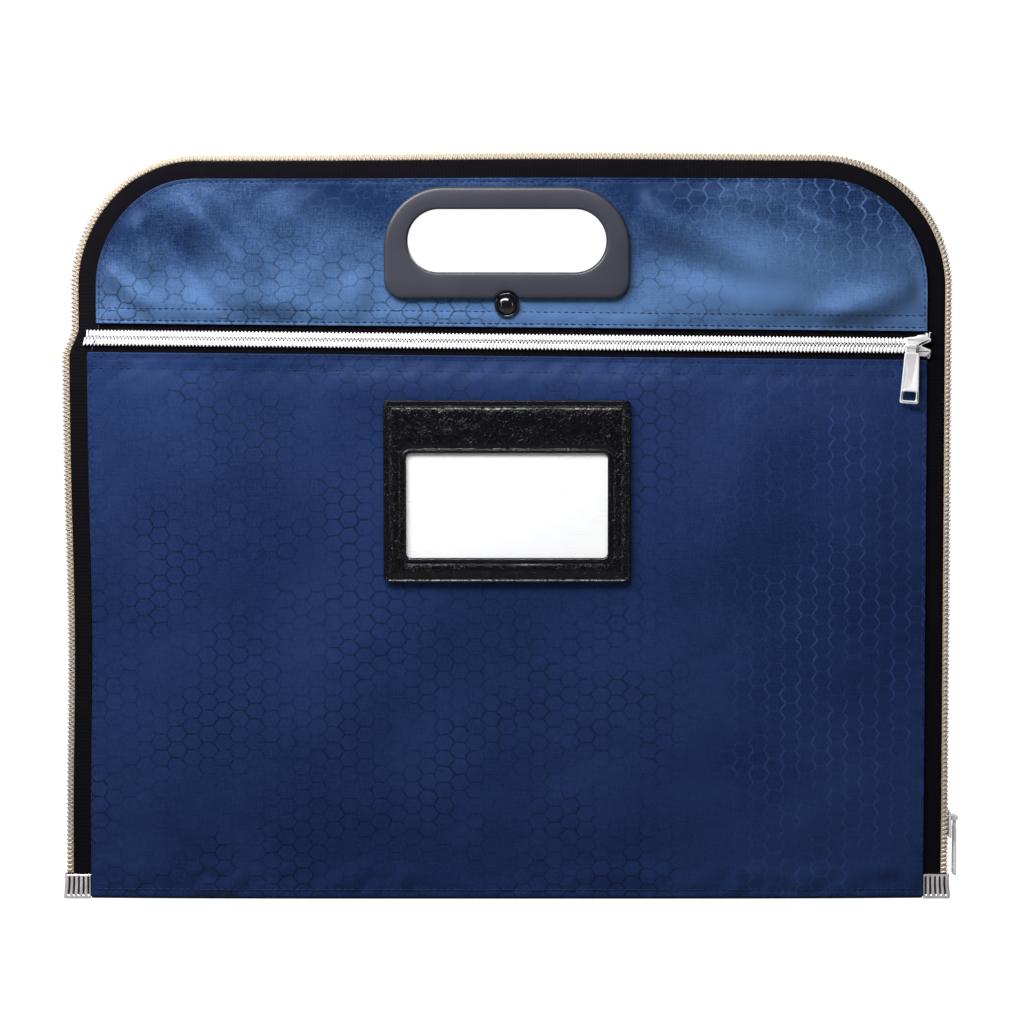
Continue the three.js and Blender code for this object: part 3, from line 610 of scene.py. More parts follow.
def nylon_material(name, ground, shade, line_depth, roughness, patches=0.36, painted_light_share=0.0, painted_sheen_share=1.3):
    """Woven nylon: ground and shade colours, honeycomb lines with a painted sheen towards the right, slubs,
    patches, painted light and shade by height, weave height and sheen.
    """
    settings = {"Specular IOR Level": 0.2, "Sheen Weight": 0.03, "Sheen Roughness": 0.35}
    material, tree, shader = start_material(name, settings)
    for tinted in ("Sheen Tint", "Specular Tint"):
        shader.inputs[tinted].default_value = (0.35, 0.55, 1.0, 1.0)
    cloth, place = cloth_place(tree), object_place(tree)
    weave = use_group(tree, WEAVE, {"Vector": cloth, "Pitch": 0.07})
    comb = use_group(tree, HONEYCOMB, {"Vector": cloth})
    fading = between(tree, noise(tree, place, 30.0, 4.0, 0.7), 0.36, 0.62, 0.05, 1.0)
    broken = between(tree, noise(tree, place, 420.0, 2.0, 0.7), 0.34, 0.5, 0.4, 1.0)
    side, _, height = new_node(tree, "ShaderNodeSeparateXYZ", None, {0: place}).outputs
    # Painted sheen: towards the right the honeycomb lines are painted lighter than the ground and their
    # level lines fade.
    lit_side = between(tree, side, 0.05, 0.13)
    # Painted light and shade by height: the cloth's tone rises towards the zip and falls towards the top, a
    # little slanted across the panel.
    slanting = calc(tree, "MULTIPLY_ADD", side, -0.07, height)
    worn_tone_and_painted_light = between(tree, slanting, *PAINTED_LIGHT_HEIGHTS, -painted_light_share, 0.8 * painted_light_share)
    level_part = calc(tree, "MULTIPLY", calc(tree, "SUBTRACT", comb["Slant"], 1.0), 0.7)
    slanted = calc(tree, "MULTIPLY_ADD", lit_side, level_part, 1.0)
    strength = calc(tree, "MULTIPLY", calc(tree, "MULTIPLY", fading, broken), line_depth)
    line = calc(tree, "MULTIPLY", comb["Line"], calc(tree, "MULTIPLY", strength, slanted))
    slow = between(tree, noise(tree, place, 12.0, 3.0), 0.36, 0.64)
    slub = between(tree, weave["Slub"], 0.3, 0.7)
    grit = between(tree, noise(tree, place, 1300.0, 2.0, 0.8), 0.3, 0.7)
    threads_seen = calc(tree, "MULTIPLY_ADD", slub, 0.34, calc(tree, "MULTIPLY_ADD", grit, 0.3, worn_tone_and_painted_light))
    tone = calc(tree, "MULTIPLY_ADD", slow, patches, threads_seen, clamp=True)
    base = blend_colors(tree, tone, shade, ground)
    # The line colour runs from the dark pattern colour to a painted sheen colour towards the right.
    dark, painted_sheen_color = (tuple(share * c for c in ground[:3]) + (1.0,) for share in (DARK_LINE, painted_sheen_share))
    line_color = blend_colors(tree, lit_side, dark, painted_sheen_color)
    tree.links.new(blend_colors(tree, line, base, line_color), shader.inputs["Base Color"])
    dull = calc(tree, "MULTIPLY_ADD", slub, 0.1, roughness - 0.05)
    tree.links.new(calc(tree, "MULTIPLY_ADD", line, 0.08, dull), shader.inputs["Roughness"])
    threads = add_bump(tree, shader, weave["Height"], 0.00006, 0.7)
    add_bump(tree, shader, calc(tree, "MULTIPLY", line, -1.0), 0.00005, 0.8, threads)
    return material


NAVY = nylon_material("NavyNylon", (0.0165, 0.035, 0.119, 1), (0.0035, 0.0115, 0.048, 1), 0.95, 0.42)
# A painted lit copy of the navy nylon for the upper panel: its lighter ground colour is painted light from
# above, its stronger patches partly painted satin bloom, and it gets painted light and shade by height.
NAVY_PAINTED_LIT = nylon_material(
    "NavyNylonPaintedLit", (0.066, 0.133, 0.28, 1), (0.006, 0.017, 0.062, 1), 0.9, 0.38,
    patches=0.5, painted_light_share=0.6, painted_sheen_share=1.12)
LINING = nylon_material("NavyLining", (0.014, 0.024, 0.062, 1), (0.009, 0.016, 0.045, 1), 0.0, 0.62)


# %% [markdown]
# Zip tape is a narrow woven band. Its ribs run across it, so their pattern reads the distance along the
# tape from the UV map, and it follows the tape round the corners.

# %% Zip tape, sewing thread and coils
def tape_material():
    """Near-black tape with fine cross ribs, painted lighter on their crests and darker between them as
    painted light and shade, unevenly along the tape.
    """
    material, tree, shader = start_material("BlackTape", {"Specular IOR Level": 0.03})
    cloth, place = cloth_place(tree), object_place(tree)
    parts = new_node(tree, "ShaderNodeSeparateXYZ", None, {0: cloth}).outputs
    ribs = use_group(tree, RIBS, {"Along": parts[0], "Pitch": 0.058})["Height"]
    grain = use_group(tree, GRAIN, {"Vector": place, "Fine": 2600.0, "Slow": 60.0})
    # Painted light and shade: rib crests are painted lighter and the gaps between them darker, more in some
    # places.
    painted_rib_light = calc(tree, "MULTIPLY", ribs, calc(tree, "MULTIPLY_ADD", grain["Mask"], 0.9, 0.25))
    color = blend_colors(tree, painted_rib_light, (0.0012, 0.001, 0.0016, 1), (0.0075, 0.0065, 0.01, 1))
    tree.links.new(color, shader.inputs["Base Color"])
    tree.links.new(calc(tree, "MULTIPLY_ADD", grain["Mask"], 0.25, 0.55), shader.inputs["Roughness"])
    low = add_bump(tree, shader, ribs, 0.00012, 0.9)
    add_bump(tree, shader, grain["Height"], 0.00005, 0.6, low)
    return material


def thread_material(name, color, roughness):
    """Sewing thread or filler cord: a twisted look from a steep wave, with painted shade in its troughs,
    and uneven colour.
    """
    material, tree, shader = start_material(name, {"Specular IOR Level": 0.3, "Sheen Weight": 0.05})
    place = object_place(tree)
    twist = vector_calc(tree, "DOT_PRODUCT", place, (5200.0, 3100.0, 5200.0), result="Value")
    wave = calc(tree, "MULTIPLY_ADD", calc(tree, "SINE", twist), 0.5, 0.5)
    grain = use_group(tree, GRAIN, {"Vector": place, "Fine": 3000.0, "Slow": 120.0})
    dark = tuple(0.55 * c for c in color[:3]) + (1.0,)
    # Painted shade: the colour darkens in the troughs of the twist wave.
    tone = calc(tree, "MULTIPLY_ADD", grain["Mask"], 0.6, calc(tree, "MULTIPLY", wave, 0.4), clamp=True)
    tree.links.new(blend_colors(tree, tone, dark, color), shader.inputs["Base Color"])
    tree.links.new(calc(tree, "MULTIPLY_ADD", wave, 0.1, roughness), shader.inputs["Roughness"])
    add_bump(tree, shader, wave, 0.00004, 0.6)
    return material


def coil_material(name, color, stained, stain_size, roughness):
    """Nylon wire: milky, glossy, with slow changes of tone and fine drawing lines."""
    settings = {"Specular IOR Level": 0.55, "Coat Weight": 0.25, "Coat Roughness": 0.15}
    material, tree, shader = start_material(name, settings)
    grain = use_group(tree, GRAIN, {"Vector": object_place(tree), "Fine": 2200.0, "Slow": stain_size})
    tone = between(tree, grain["Mask"], 0.3, 0.7)
    tree.links.new(blend_colors(tree, tone, stained, color), shader.inputs["Base Color"])
    tree.links.new(calc(tree, "MULTIPLY_ADD", grain["Height"], 0.2, roughness), shader.inputs["Roughness"])
    add_bump(tree, shader, grain["Height"], 0.00002, 0.5)
    return material


TAPE = tape_material()
NAVY_THREAD = thread_material("NavyThread", (0.016, 0.032, 0.1, 1), 0.5)
GOLD_THREAD = thread_material("GoldThread", (0.6, 0.42, 0.22, 1), 0.45)
WHITE_THREAD = thread_material("WhiteThread", (0.55, 0.55, 0.58, 1), 0.5)
CREAM = coil_material("CreamCoil", (0.94, 0.84, 0.68, 1), (0.78, 0.6, 0.4, 1), 420.0, 0.3)
SILVER = coil_material("SilverCoil", (0.96, 0.96, 0.97, 1), (0.82, 0.82, 0.85, 1), 300.0, 0.28)


# %% [markdown]
# The metal parts are plated. Plating is smooth but never even: faint brush lines run one way, and the
# tone drifts. The grip is moulded plastic with a satin, slightly pitted face. The snap's cap is
# polished, and the card holder is vinyl embossed with creases.

# %% Metal, plastic, vinyl, film and paper
def metal_material(name, color, worn_tone_and_painted_light, roughness, brush, metallic, painted_groove_shade=False):
    """Plated metal: brush lines, uneven gloss and a darker tone of wear. A piece with grooves carries in
    its UV map the depth of its grooves, from 0 to 1, and is painted dark where they are deep, as painted
    shade."""
    material, tree, shader = start_material(name, {"Metallic": metallic, "IOR": 1.8})
    place = object_place(tree)
    lines = noise(tree, vector_calc(tree, "MULTIPLY", place, brush), 1.0, 3.0, 0.65)
    grain = use_group(tree, GRAIN, {"Vector": place, "Fine": 900.0, "Slow": 260.0})
    wear = between(tree, grain["Mask"], 0.35, 0.7)
    tone = blend_colors(tree, wear, worn_tone_and_painted_light, color)
    # Painted shade: deep grooves are coloured near black.
    if painted_groove_shade:
        deep = new_node(tree, "ShaderNodeSeparateXYZ", None, {0: cloth_place(tree)}).outputs[0]
        tone = blend_colors(tree, between(tree, deep, 0.25, 0.9), tone, (0.012, 0.009, 0.011, 1))
    tree.links.new(tone, shader.inputs["Base Color"])
    gloss = calc(tree, "MULTIPLY_ADD", lines, 0.18, calc(tree, "MULTIPLY_ADD", wear, -0.06, roughness))
    tree.links.new(gloss, shader.inputs["Roughness"])
    add_bump(tree, shader, lines, 0.000012, 0.5)
    return material


def plastic_material(name, color, streak, roughness, pit_size, pit_depth, coat):
    """Moulded plastic: pitted face, flow streaks and uneven gloss."""
    settings = {"Specular IOR Level": 0.5, "Coat Weight": coat, "Coat Roughness": 0.08}
    material, tree, shader = start_material(name, settings)
    grain = use_group(tree, GRAIN, {"Vector": object_place(tree), "Fine": pit_size, "Slow": 45.0})
    tree.links.new(blend_colors(tree, grain["Mask"], color, streak), shader.inputs["Base Color"])
    gloss = calc(tree, "MULTIPLY_ADD", grain["Mask"], 0.14, roughness - 0.05)
    tree.links.new(gloss, shader.inputs["Roughness"])
    add_bump(tree, shader, grain["Height"], pit_depth, 0.6)
    return material


def vinyl_material():
    """Black vinyl with embossed creases, painted darker in their valleys as painted shade, and glossier on
    the crests.
    """
    material, tree, shader = start_material("BlackVinyl", {"Specular IOR Level": 0.3})
    place = object_place(tree)
    crease = use_group(tree, CREASES, {"Vector": place})["Height"]
    grain = use_group(tree, GRAIN, {"Vector": place, "Fine": 1500.0, "Slow": 50.0})
    # Painted shade: the colour is darker in the crease valleys.
    color = blend_colors(tree, crease, (0.0012, 0.0012, 0.002, 1), (0.003, 0.003, 0.0045, 1))
    tree.links.new(color, shader.inputs["Base Color"])
    gloss = calc(tree, "MULTIPLY_ADD", crease, -0.1, calc(tree, "MULTIPLY_ADD", grain["Mask"], 0.07, 0.14))
    tree.links.new(gloss, shader.inputs["Roughness"])
    add_bump(tree, shader, crease, 0.00022, 0.9)
    return material


def film_material():
    """Clear film: almost all light passes, and only its gloss and a few scratches show."""
    settings = {"Base Color": (0.97, 0.98, 1.0, 1), "Specular IOR Level": 0.4}
    material, tree, shader = start_material("ClearFilm", settings)
    place = object_place(tree)
    scratches = noise(tree, vector_calc(tree, "MULTIPLY", place, (60.0, 60.0, 2600.0)), 1.0, 2.0)
    seen = between(tree, scratches, 0.66, 0.74, 0.07, 0.16)
    tree.links.new(seen, shader.inputs["Alpha"])
    tree.links.new(between(tree, scratches, 0.6, 0.75, 0.06, 0.3), shader.inputs["Roughness"])
    add_bump(tree, shader, noise(tree, place, 45.0, 1.0), 0.0002, 0.3)
    return material


def paper_material():
    """Uncoated white card: fibres in colour and height, the colour partly painted lighter where the fibres
    are raised, as painted light.
    """
    material, tree, shader = start_material("CardPaper", {"Specular IOR Level": 0.3})
    grain = use_group(tree, GRAIN, {"Vector": object_place(tree), "Fine": 2400.0, "Slow": 90.0})
    # Partly painted light: the fibre tone follows the random grain and also the fibre height.
    tone = calc(tree, "MULTIPLY_ADD", grain["Mask"], 0.5, calc(tree, "MULTIPLY", grain["Height"], 0.5))
    color = blend_colors(tree, tone, (0.78, 0.78, 0.79, 1), (0.87, 0.87, 0.87, 1))
    tree.links.new(color, shader.inputs["Base Color"])
    tree.links.new(calc(tree, "MULTIPLY_ADD", grain["Height"], 0.15, 0.75), shader.inputs["Roughness"])
    add_bump(tree, shader, grain["Height"], 0.00003, 0.5)
    return material


ALONG_TAB, ACROSS_CLIP = (300, 300, 2400), (1800, 900, 260)      # how brush lines are stretched
PLATED = metal_material(
    "PlatedMetal", (0.97, 0.95, 0.96, 1), (0.86, 0.84, 0.86, 1), 0.26, ALONG_TAB, 0.35)
STEEL = metal_material(
    "StampedSteel", (0.78, 0.74, 0.76, 1), (0.6, 0.56, 0.58, 1), 0.2, ACROSS_CLIP, 0.95)
CRIMPED = metal_material(
    "CrimpedSteel", (0.92, 0.86, 0.88, 1), (0.72, 0.66, 0.69, 1), 0.22, ACROSS_CLIP, 0.6, painted_groove_shade=True)
GREY = plastic_material(
    "GreyPlastic", (0.024, 0.025, 0.037, 1), (0.031, 0.032, 0.047, 1), 0.38, 3200, 4e-5, 0)
GLOSS = plastic_material(
    "BlackGloss", (0.004, 0.004, 0.006, 1), (0.007, 0.007, 0.009, 1), 0.12, 900, 4e-6, 0.6)
VINYL = vinyl_material()
FILM = film_material()
PAPER = paper_material()
print("materials:", len(bpy.data.materials))


# %% [markdown]
# ## The cloth panels
# Each panel is a thin closed shell: an outer grid of points, and the same grid moved in by the cloth's
# thickness. Rows and columns crowd together at the rim, where the two sides round over into each other
# like a folded hem. The panels for the top follow the round corners, and quads inside the hand hole are
# left out, with their ragged rim hidden between the grip and its inner ring.

# %% Grids that follow the panel's outline
HEM_EDGE = (0.0, 0.12, 0.35, 0.8)


def crowded(length, step):
    """Places from 0 to a length, a step apart, crowded together at both ends."""
    inner = np.linspace(1.6, length - 1.6, int(length / step))
    edge = np.array(HEM_EDGE)
    return np.concatenate([edge, inner, length - edge[::-1]])


def panel_grid(low, high, step, inset=0.0):
    """X, Z and distance to the rim. Rows run from low(x) to high(x), or up into the round corners."""
    reach = CLOTH_HALF - inset
    across = crowded(2 * reach, step) / reach - 1.0
    radius = CLOTH_CORNER - inset
    if high:
        rise = crowded(np.mean(high(across) - low(across)), step)
        share = (rise / rise[-1])[:, None]
        x = np.broadcast_to(reach * across, (len(rise), len(across)))
        z = low(x) + (high(x) - low(x)) * share
    else:
        start = np.mean(low(across))
        rise = crowded(CORNER_START - start, step)[:-3]
        turn = np.linspace(0, math.pi / 2, int(1.5 * radius / step))
        turn = np.concatenate([turn[1:-1], math.pi / 2 - np.array([0.06, 0.035, 0.0])])
        foot = low(reach * across)
        straight = foot + np.outer(rise / (CORNER_START - start), CORNER_START - foot)
        round_z = (CORNER_START + radius * np.sin(turn))[:, None] + 0 * across
        wide = np.concatenate([np.full(len(rise), reach), reach - radius + radius * np.cos(turn)])
        z = np.concatenate([straight, round_z])
        x = wide[:, None] * across[None, :]
    return x, z, rim_distance(x, z, low, high, reach, radius)


def rim_distance(x, z, low, high, reach, radius):
    """Smallest distance to the sides, the bottom, and the top line or the round top corners."""
    side = reach - np.abs(x)
    foot = z - low(x)
    if high:
        return np.minimum(np.minimum(side, foot), high(x) - z)
    past_x, past_z = np.abs(x) - (reach - radius), z - CORNER_START
    round_part = radius - np.hypot(np.clip(past_x, 0, None), np.clip(past_z, 0, None))
    return np.minimum(np.where(past_z > 0, round_part, side), foot)


def fold_over(distance, thickness):
    """How far a rounded edge has drawn back: r - sqrt(r^2 - (r - d)^2), with r half the thickness."""
    radius = thickness / 2
    short = np.clip(radius - distance, 0, radius)
    return radius - np.sqrt(radius ** 2 - short ** 2)


def stitch_dent(distance, line, depth):
    """The dent that a row of stitches pulls into the cloth: a narrow bell curve across the row."""
    return -depth * np.exp(-(((distance - line) / 0.7) ** 2))


def pucker(x, z, distance, reach, size):
    """Short waves along a seam that die away from it, uneven because two wavelengths beat."""
    waves = np.sin(x * 0.71 + z * 0.33) + np.sin(x * 0.43 - z * 0.52 + 1.0)
    return size * 0.5 * waves * np.exp(-distance / reach)


def hand_distance(x, z):
    """Distance outside the stadium-shaped hand hole; negative inside it."""
    low, high = span("front_handle_ring")
    middle = (low + high) / 2
    radius = (high[2] - low[2]) / 2
    straight = (high[0] - low[0]) / 2 - radius
    return np.hypot(np.clip(np.abs(x - middle[0]) - straight, 0, None), z - middle[2]) - radius


def cloth_body(x, z, depth, side, distance, thickness=CLOTH, hole=False):
    """A closed sheet at a depth in front (side -1) or behind (side 1), with rounded edges."""
    back_off = fold_over(distance, thickness)
    outer = np.stack([x, side * (depth - back_off), z], -1)
    inner = np.stack([x, side * (depth - thickness + back_off), z], -1)
    keep = None
    if hole:
        middle = [(g[:-1, :-1] + g[1:, :-1] + g[:-1, 1:] + g[1:, 1:]) / 4 for g in (x, z)]
        keep = hand_distance(*middle) > -1.4
    return shell_body(relax(outer), relax(inner), keep)


def declare_sheet(x, z, depth):
    """Works out the lengths of the panel's middle row and column, in metres, and does nothing further with
    them.
    """
    points = np.stack([x, depth, z], -1) * MM
    row, column = points[len(points) // 2], points[:, points.shape[1] // 2]
    sizes = [float(np.sum(np.linalg.norm(np.diff(line, axis=0), axis=1))) for line in (row, column)]


# %% [markdown]
# The back panel is one piece of cloth from the bottom fold to the round top. The front has two: the
# panel above the pocket zip, and the pocket panel below it. Both zip edges are turned in twice and
# sewn, so that they are thicker for a few millimetres, with a dent along each row of stitches. The
# pocket panel reaches down to the fold.

# %% Back, upper front and pocket panels
FOLD_LINE = 1.1                          # height at which the panels end at the bottom fold
HEM_STITCH, SECOND_STITCH = 1.6, 6.5     # from the folded edge of a hem to its two rows of stitches
RIM_STITCH = 1.3                         # from the cloth's side edge to the row along the zip tape
FOOT_STITCH = 3.2                        # from the fold line up to the bottom row


def hem_shape(distance):
    """A turned hem: extra thickness out to the second row of stitches, and a dent at each row."""
    thicker = 0.32 * (1.0 - smooth((distance - SECOND_STITCH + 0.3) / 1.4))
    return thicker + stitch_dent(distance, HEM_STITCH, 0.16) + stitch_dent(distance, SECOND_STITCH, 0.3)


def seam_shape(x, z, distance):
    """Along the zip tapes: the cloth dips to its seam and puckers a little beside it."""
    return stitch_dent(distance, RIM_STITCH, 0.18) + pucker(x, z, distance, 7.0, 0.24)


def foot_shape(x, z):
    """The bottom hem: a dent at its stitches, and a crumpled band above them, which only stands out
    because the gutter lies right behind it."""
    rise = z - FOLD_LINE
    crumple = 0.8 * np.hypot(ripples(x, 0.5 * z, 5, 16, 9.0, 30.0), 0.25) - 0.2
    crumple = crumple * smooth(rise / 3.0) * smooth((17.0 - rise) / 9.0)
    return crumple * smooth((CLOTH_HALF - np.abs(x)) / 6.0) + stitch_dent(rise, FOOT_STITCH, 0.3)


def back_line(x):
    return np.full_like(x, FOLD_LINE)


def upper_line(x):
    return zip_height(x) + ZIP_MARGIN


def pocket_line(x):
    return zip_height(x) - ZIP_MARGIN


def settle(distance, deep, flat):
    """Folds die out at the sewn rim: plain depth at the rim, folded depth a little way in."""
    return flat + (deep - flat) * smooth(distance / 9.0)


x, z, rim = panel_grid(back_line, None, 1.75)
depth = settle(rim, back_depth(x, z), plain_depth(x, z)) + seam_shape(x, z, rim) + foot_shape(x, z)
back_cloth = add_piece(
    "back_cloth", cloth_body(x, z, depth, 1, rim, hole=True), "root", NAVY, ["back_panel"])
declare_sheet(x, z, depth)

x, z, rim = panel_grid(upper_line, None, 1.2)
hem = hem_shape(z - upper_line(x)) * smooth((CLOTH_HALF - np.abs(x)) / 2.0)
depth = settle(rim, front_depth(x, z), plain_depth(x, z)) + seam_shape(x, z, rim) + hem
upper_cloth = add_piece(
    "upper_cloth", cloth_body(x, z, depth, -1, rim, hole=True), "front_leaf", NAVY_PAINTED_LIT,
    ["front_upper_panel"])
declare_sheet(x, z, depth)


def pocket_depth(x, z):
    """Depth of the finished pocket panel: folds, side seams, hem, foot and puckers along its stitches."""
    side_rim = CLOTH_HALF - np.abs(x)
    below_zip = pocket_line(x) - z
    rim = np.minimum(np.minimum(side_rim, below_zip), z - FOLD_LINE)
    hem = hem_shape(below_zip) * smooth(side_rim / 2.0)
    depth = settle(rim, front_depth(x, z), plain_depth(x, z)) + seam_shape(x, z, side_rim)
    return depth + hem + foot_shape(x, z) + pucker(x, z, np.abs(below_zip - 6.0), 5.0, 0.3)


x, z, rim = panel_grid(back_line, pocket_line, 1.5)
depth = pocket_depth(x, z)
pocket_cloth = add_piece(
    "pocket_cloth", cloth_body(x, z, depth, -1, rim), None, NAVY, ["pocket_panel"])
declare_sheet(x, z, depth)
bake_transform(pocket_cloth)


# %% [markdown]
# Inside the pocket a thin lining parts the pocket from the main compartment, and a gutter of cloth
# joins the front to the back along the bottom. The gutter is a U that is carried along X.

# %% Pocket lining and bottom gutter
def lining_line(x):
    return zip_height(x) + 8.5


def foot_line(x):
    return np.full_like(x, 6.3)


x, z, rim = panel_grid(foot_line, lining_line, 3.0, inset=6.0)
depth = plain_depth(x, z) - CLOTH * pinch(z)
depth = 0.5 * depth + 0.12 * ripples(x, z, 31, 20, 20.0, 70.0)
lining = cloth_body(x, z, depth, -1, rim, thickness=0.4)
lining_cloth = add_piece("lining_cloth", lining, "front_leaf", LINING, ["pocket_lining"])
declare_sheet(x, z, depth)


GUTTER_HEIGHT, GUTTER_BEND = 5.6, 1.3


def gutter_section():
    """Half of a U, from the middle of its floor upwards: share of the floor's half width, how far the
    bend draws back from the wall, and height. Seven points of floor, nine of bend, six of wall."""
    turn = np.linspace(0, math.pi / 2, 9)
    across = np.concatenate([np.linspace(0, 1, 8)[:-1], np.ones(15)])
    pull = np.concatenate([np.zeros(7), GUTTER_BEND * (1 - np.sin(turn)), np.zeros(6)])
    wall = np.linspace(GUTTER_BEND, GUTTER_HEIGHT, 7)[1:]
    rise = np.concatenate([np.zeros(7), GUTTER_BEND * (1 - np.cos(turn)), wall])
    return across, pull, rise


def gutter_points(x, inset):
    """The U at each x: its half width follows the cloth's depth, less an inset."""
    across, pull, rise = gutter_section()
    wide = plain_depth(x, np.full_like(x, 3.0))[:, None] - CLOTH * 0.9 - inset
    y = np.where(pull + rise > 0, wide - pull * (wide - inset) / wide, across * (wide - GUTTER_BEND))
    z = np.broadcast_to(rise + inset + 0.02, y.shape)
    half = np.stack([np.broadcast_to(x[:, None], y.shape), y, z], -1)
    other = half[:, :0:-1].copy()
    other[..., 1] *= -1
    return np.concatenate([other, half], 1)


x = np.linspace(-CLOTH_HALF + 0.2, CLOTH_HALF - 0.2, 120)
gutter = shell_body(gutter_points(x, 0.0), gutter_points(x, 0.6))
base_gutter = add_piece("base_gutter", gutter, "root", LINING, ["bottom_fold"])
gutter_width = float(np.sum(np.linalg.norm(np.diff(gutter_points(x, 0.3)[60], axis=0), axis=1)) * MM)
print(f"gutter {gutter_width:.4f} m wide before it was folded")


# %% [markdown]
# ## The zip round three sides
# The zip follows one line: up the right side, round two corners and down the left side. A function of
# the distance along that line gives the place and the outward direction. Every part of the zip is a
# section carried along it: the tape, the filler cord, and each nylon coil, which is a helix. The helix's
# own wire is a tube of six sides, because there are hundreds of turns.

# %% The outer line, and sections carried along it
SIDE_LENGTH = CORNER_START - ZIP_FOOT
ARC_LENGTH = CORNER * math.pi / 2
TOP_LENGTH = 2 * (HALF - CORNER)
LINE_LENGTH = 2 * SIDE_LENGTH + 2 * ARC_LENGTH + TOP_LENGTH


def outer_line(s):
    """Place and outward direction at a distance along the line: straight, arc, straight, arc, straight."""
    first = np.clip(s - SIDE_LENGTH, 0, ARC_LENGTH) / CORNER
    second = np.clip(s - SIDE_LENGTH - ARC_LENGTH - TOP_LENGTH, 0, ARC_LENGTH) / CORNER
    turn = first + second
    middle_x = HALF - CORNER - np.clip(s - SIDE_LENGTH - ARC_LENGTH, 0, TOP_LENGTH)
    down = np.clip(s - SIDE_LENGTH - 2 * ARC_LENGTH - TOP_LENGTH, 0, SIDE_LENGTH)
    middle_z = np.clip(ZIP_FOOT + s, None, CORNER_START) - down
    nx, nz = np.cos(turn), np.sin(turn)
    return middle_x + CORNER * nx, middle_z + CORNER * nz, nx, nz


def on_line(s, inset, depth, side):
    """Points at a distance along the line, an inset from it, and a pinched depth to one side."""
    x, z, nx, nz = outer_line(s)
    height = z - inset * nz
    return np.stack(np.broadcast_arrays(x - inset * nx, side * depth * pinch(height), height), -1)


def carried(section, side, step=1.4):
    """A closed section of (inset, depth) carried along the whole line. U is the distance along it."""
    s = np.linspace(0, LINE_LENGTH, int(LINE_LENGTH / step))
    section = np.array(section)
    grid = on_line(s[:, None], section[None, :, 0], section[None, :, 1], side)
    around = np.concatenate([[0], np.cumsum(np.hypot(*np.diff(section, axis=0).T)), [0]])
    u = np.append(s, s[-1])[:, None] / 10 + 0 * around
    v = 0 * u + around / 10
    return tube_body(relax(grid), uv=np.stack([u, v], -1))


def rings_of(first, second, sides, squash=1.0):
    """A ring of places round each point, cos(a) along the first direction and sin(a) along the second."""
    ring = np.linspace(0, 2 * math.pi, sides, endpoint=False)[None, :, None]
    return np.cos(ring) * first + squash * np.sin(ring) * second


WIRE_STEPS, WIRE_SIDES = 10, 6           # points for each turn of a helix, and sides of its wire


def wire(path, frame_u, frame_v, radius_u, radius_v, turns, wire_radius, lead=0.0):
    """A helix round a path. The wire's middle is path + a cos(t) U + b sin(t) V, with a ring of points
    round it in the plane of the helix's own normal and binormal."""
    t = np.linspace(0, 2 * math.pi * turns, int(turns * WIRE_STEPS) + 1) + lead
    share = np.linspace(0, 1, len(t))
    centre, u, v = path(share), frame_u(share), frame_v(share)
    c, s = np.cos(t)[:, None], np.sin(t)[:, None]
    middle = centre + radius_u * c * u + radius_v * s * v
    along = np.gradient(middle, axis=0)
    along /= np.linalg.norm(along, axis=1)[:, None]
    normal = c / radius_u * u + s / radius_v * v
    normal -= np.sum(normal * along, 1)[:, None] * along
    normal /= np.linalg.norm(normal, axis=1)[:, None]
    cross = np.cross(along, normal)
    return middle[:, None] + wire_radius * rings_of(normal[:, None], cross[:, None], WIRE_SIDES)


TAPE_BEND = 3.0
TAPE_FACE = 3.72
TAPE_END = HALF - CLOTH_HALF + 3.0


def tape_section(thick=0.45, bend=0.9):
    """An L: the turned part beside the coil, a round bend, and the long part that runs under the cloth."""
    turn = np.linspace(0, math.pi / 2, 6)
    outer_x = TAPE_BEND + bend * (1 - np.cos(turn))
    outer_y = TAPE_FACE - bend * (1 - np.sin(turn))
    inner = bend - thick
    inner_x = TAPE_BEND + thick + inner * (1 - np.cos(turn))
    inner_y = TAPE_FACE - thick - inner * (1 - np.sin(turn))
    outside = [(TAPE_BEND, 0.55), *zip(outer_x, outer_y), (8.0, TAPE_FACE + 0.02), (TAPE_END, TAPE_FACE)]
    inside = [(TAPE_END, TAPE_FACE - thick), *list(zip(inner_x, inner_y))[::-1], (TAPE_BEND + thick, 0.55)]
    return outside + inside


CORE_SECTION = [                         # inset and depth of the filler cord's corners
    (0.75, 0.65), (0.75, 3.05), (1.2, 3.4), (2.6, 3.4), (3.1, 3.0), (3.1, 0.65), (2.6, 0.35), (1.2, 0.35)]
COIL_PITCH = 1.9
COIL_MIDDLE = (1.5, 1.85)                # inset and depth of the helix's axis
COIL_RADII = (1.3, 1.62)                 # the halves' loops reach past the middle plane, between each other
WIRE = 0.4


def coil_wire(side, lead):
    """One half of the main zip: a helix along the outer line."""
    turns = int(LINE_LENGTH / COIL_PITCH)
    line = lambda share: on_line(share * LINE_LENGTH, COIL_MIDDLE[0], COIL_MIDDLE[1], side)

    def inward(share):
        _, _, nx, nz = outer_line(share * LINE_LENGTH)
        return np.stack([-nx, 0 * share, -nz], -1)

    ahead = lambda share: np.array([[0.0, side, 0.0]])
    return tube_body(relax(wire(line, inward, ahead, *COIL_RADII, turns, WIRE, lead=lead)))


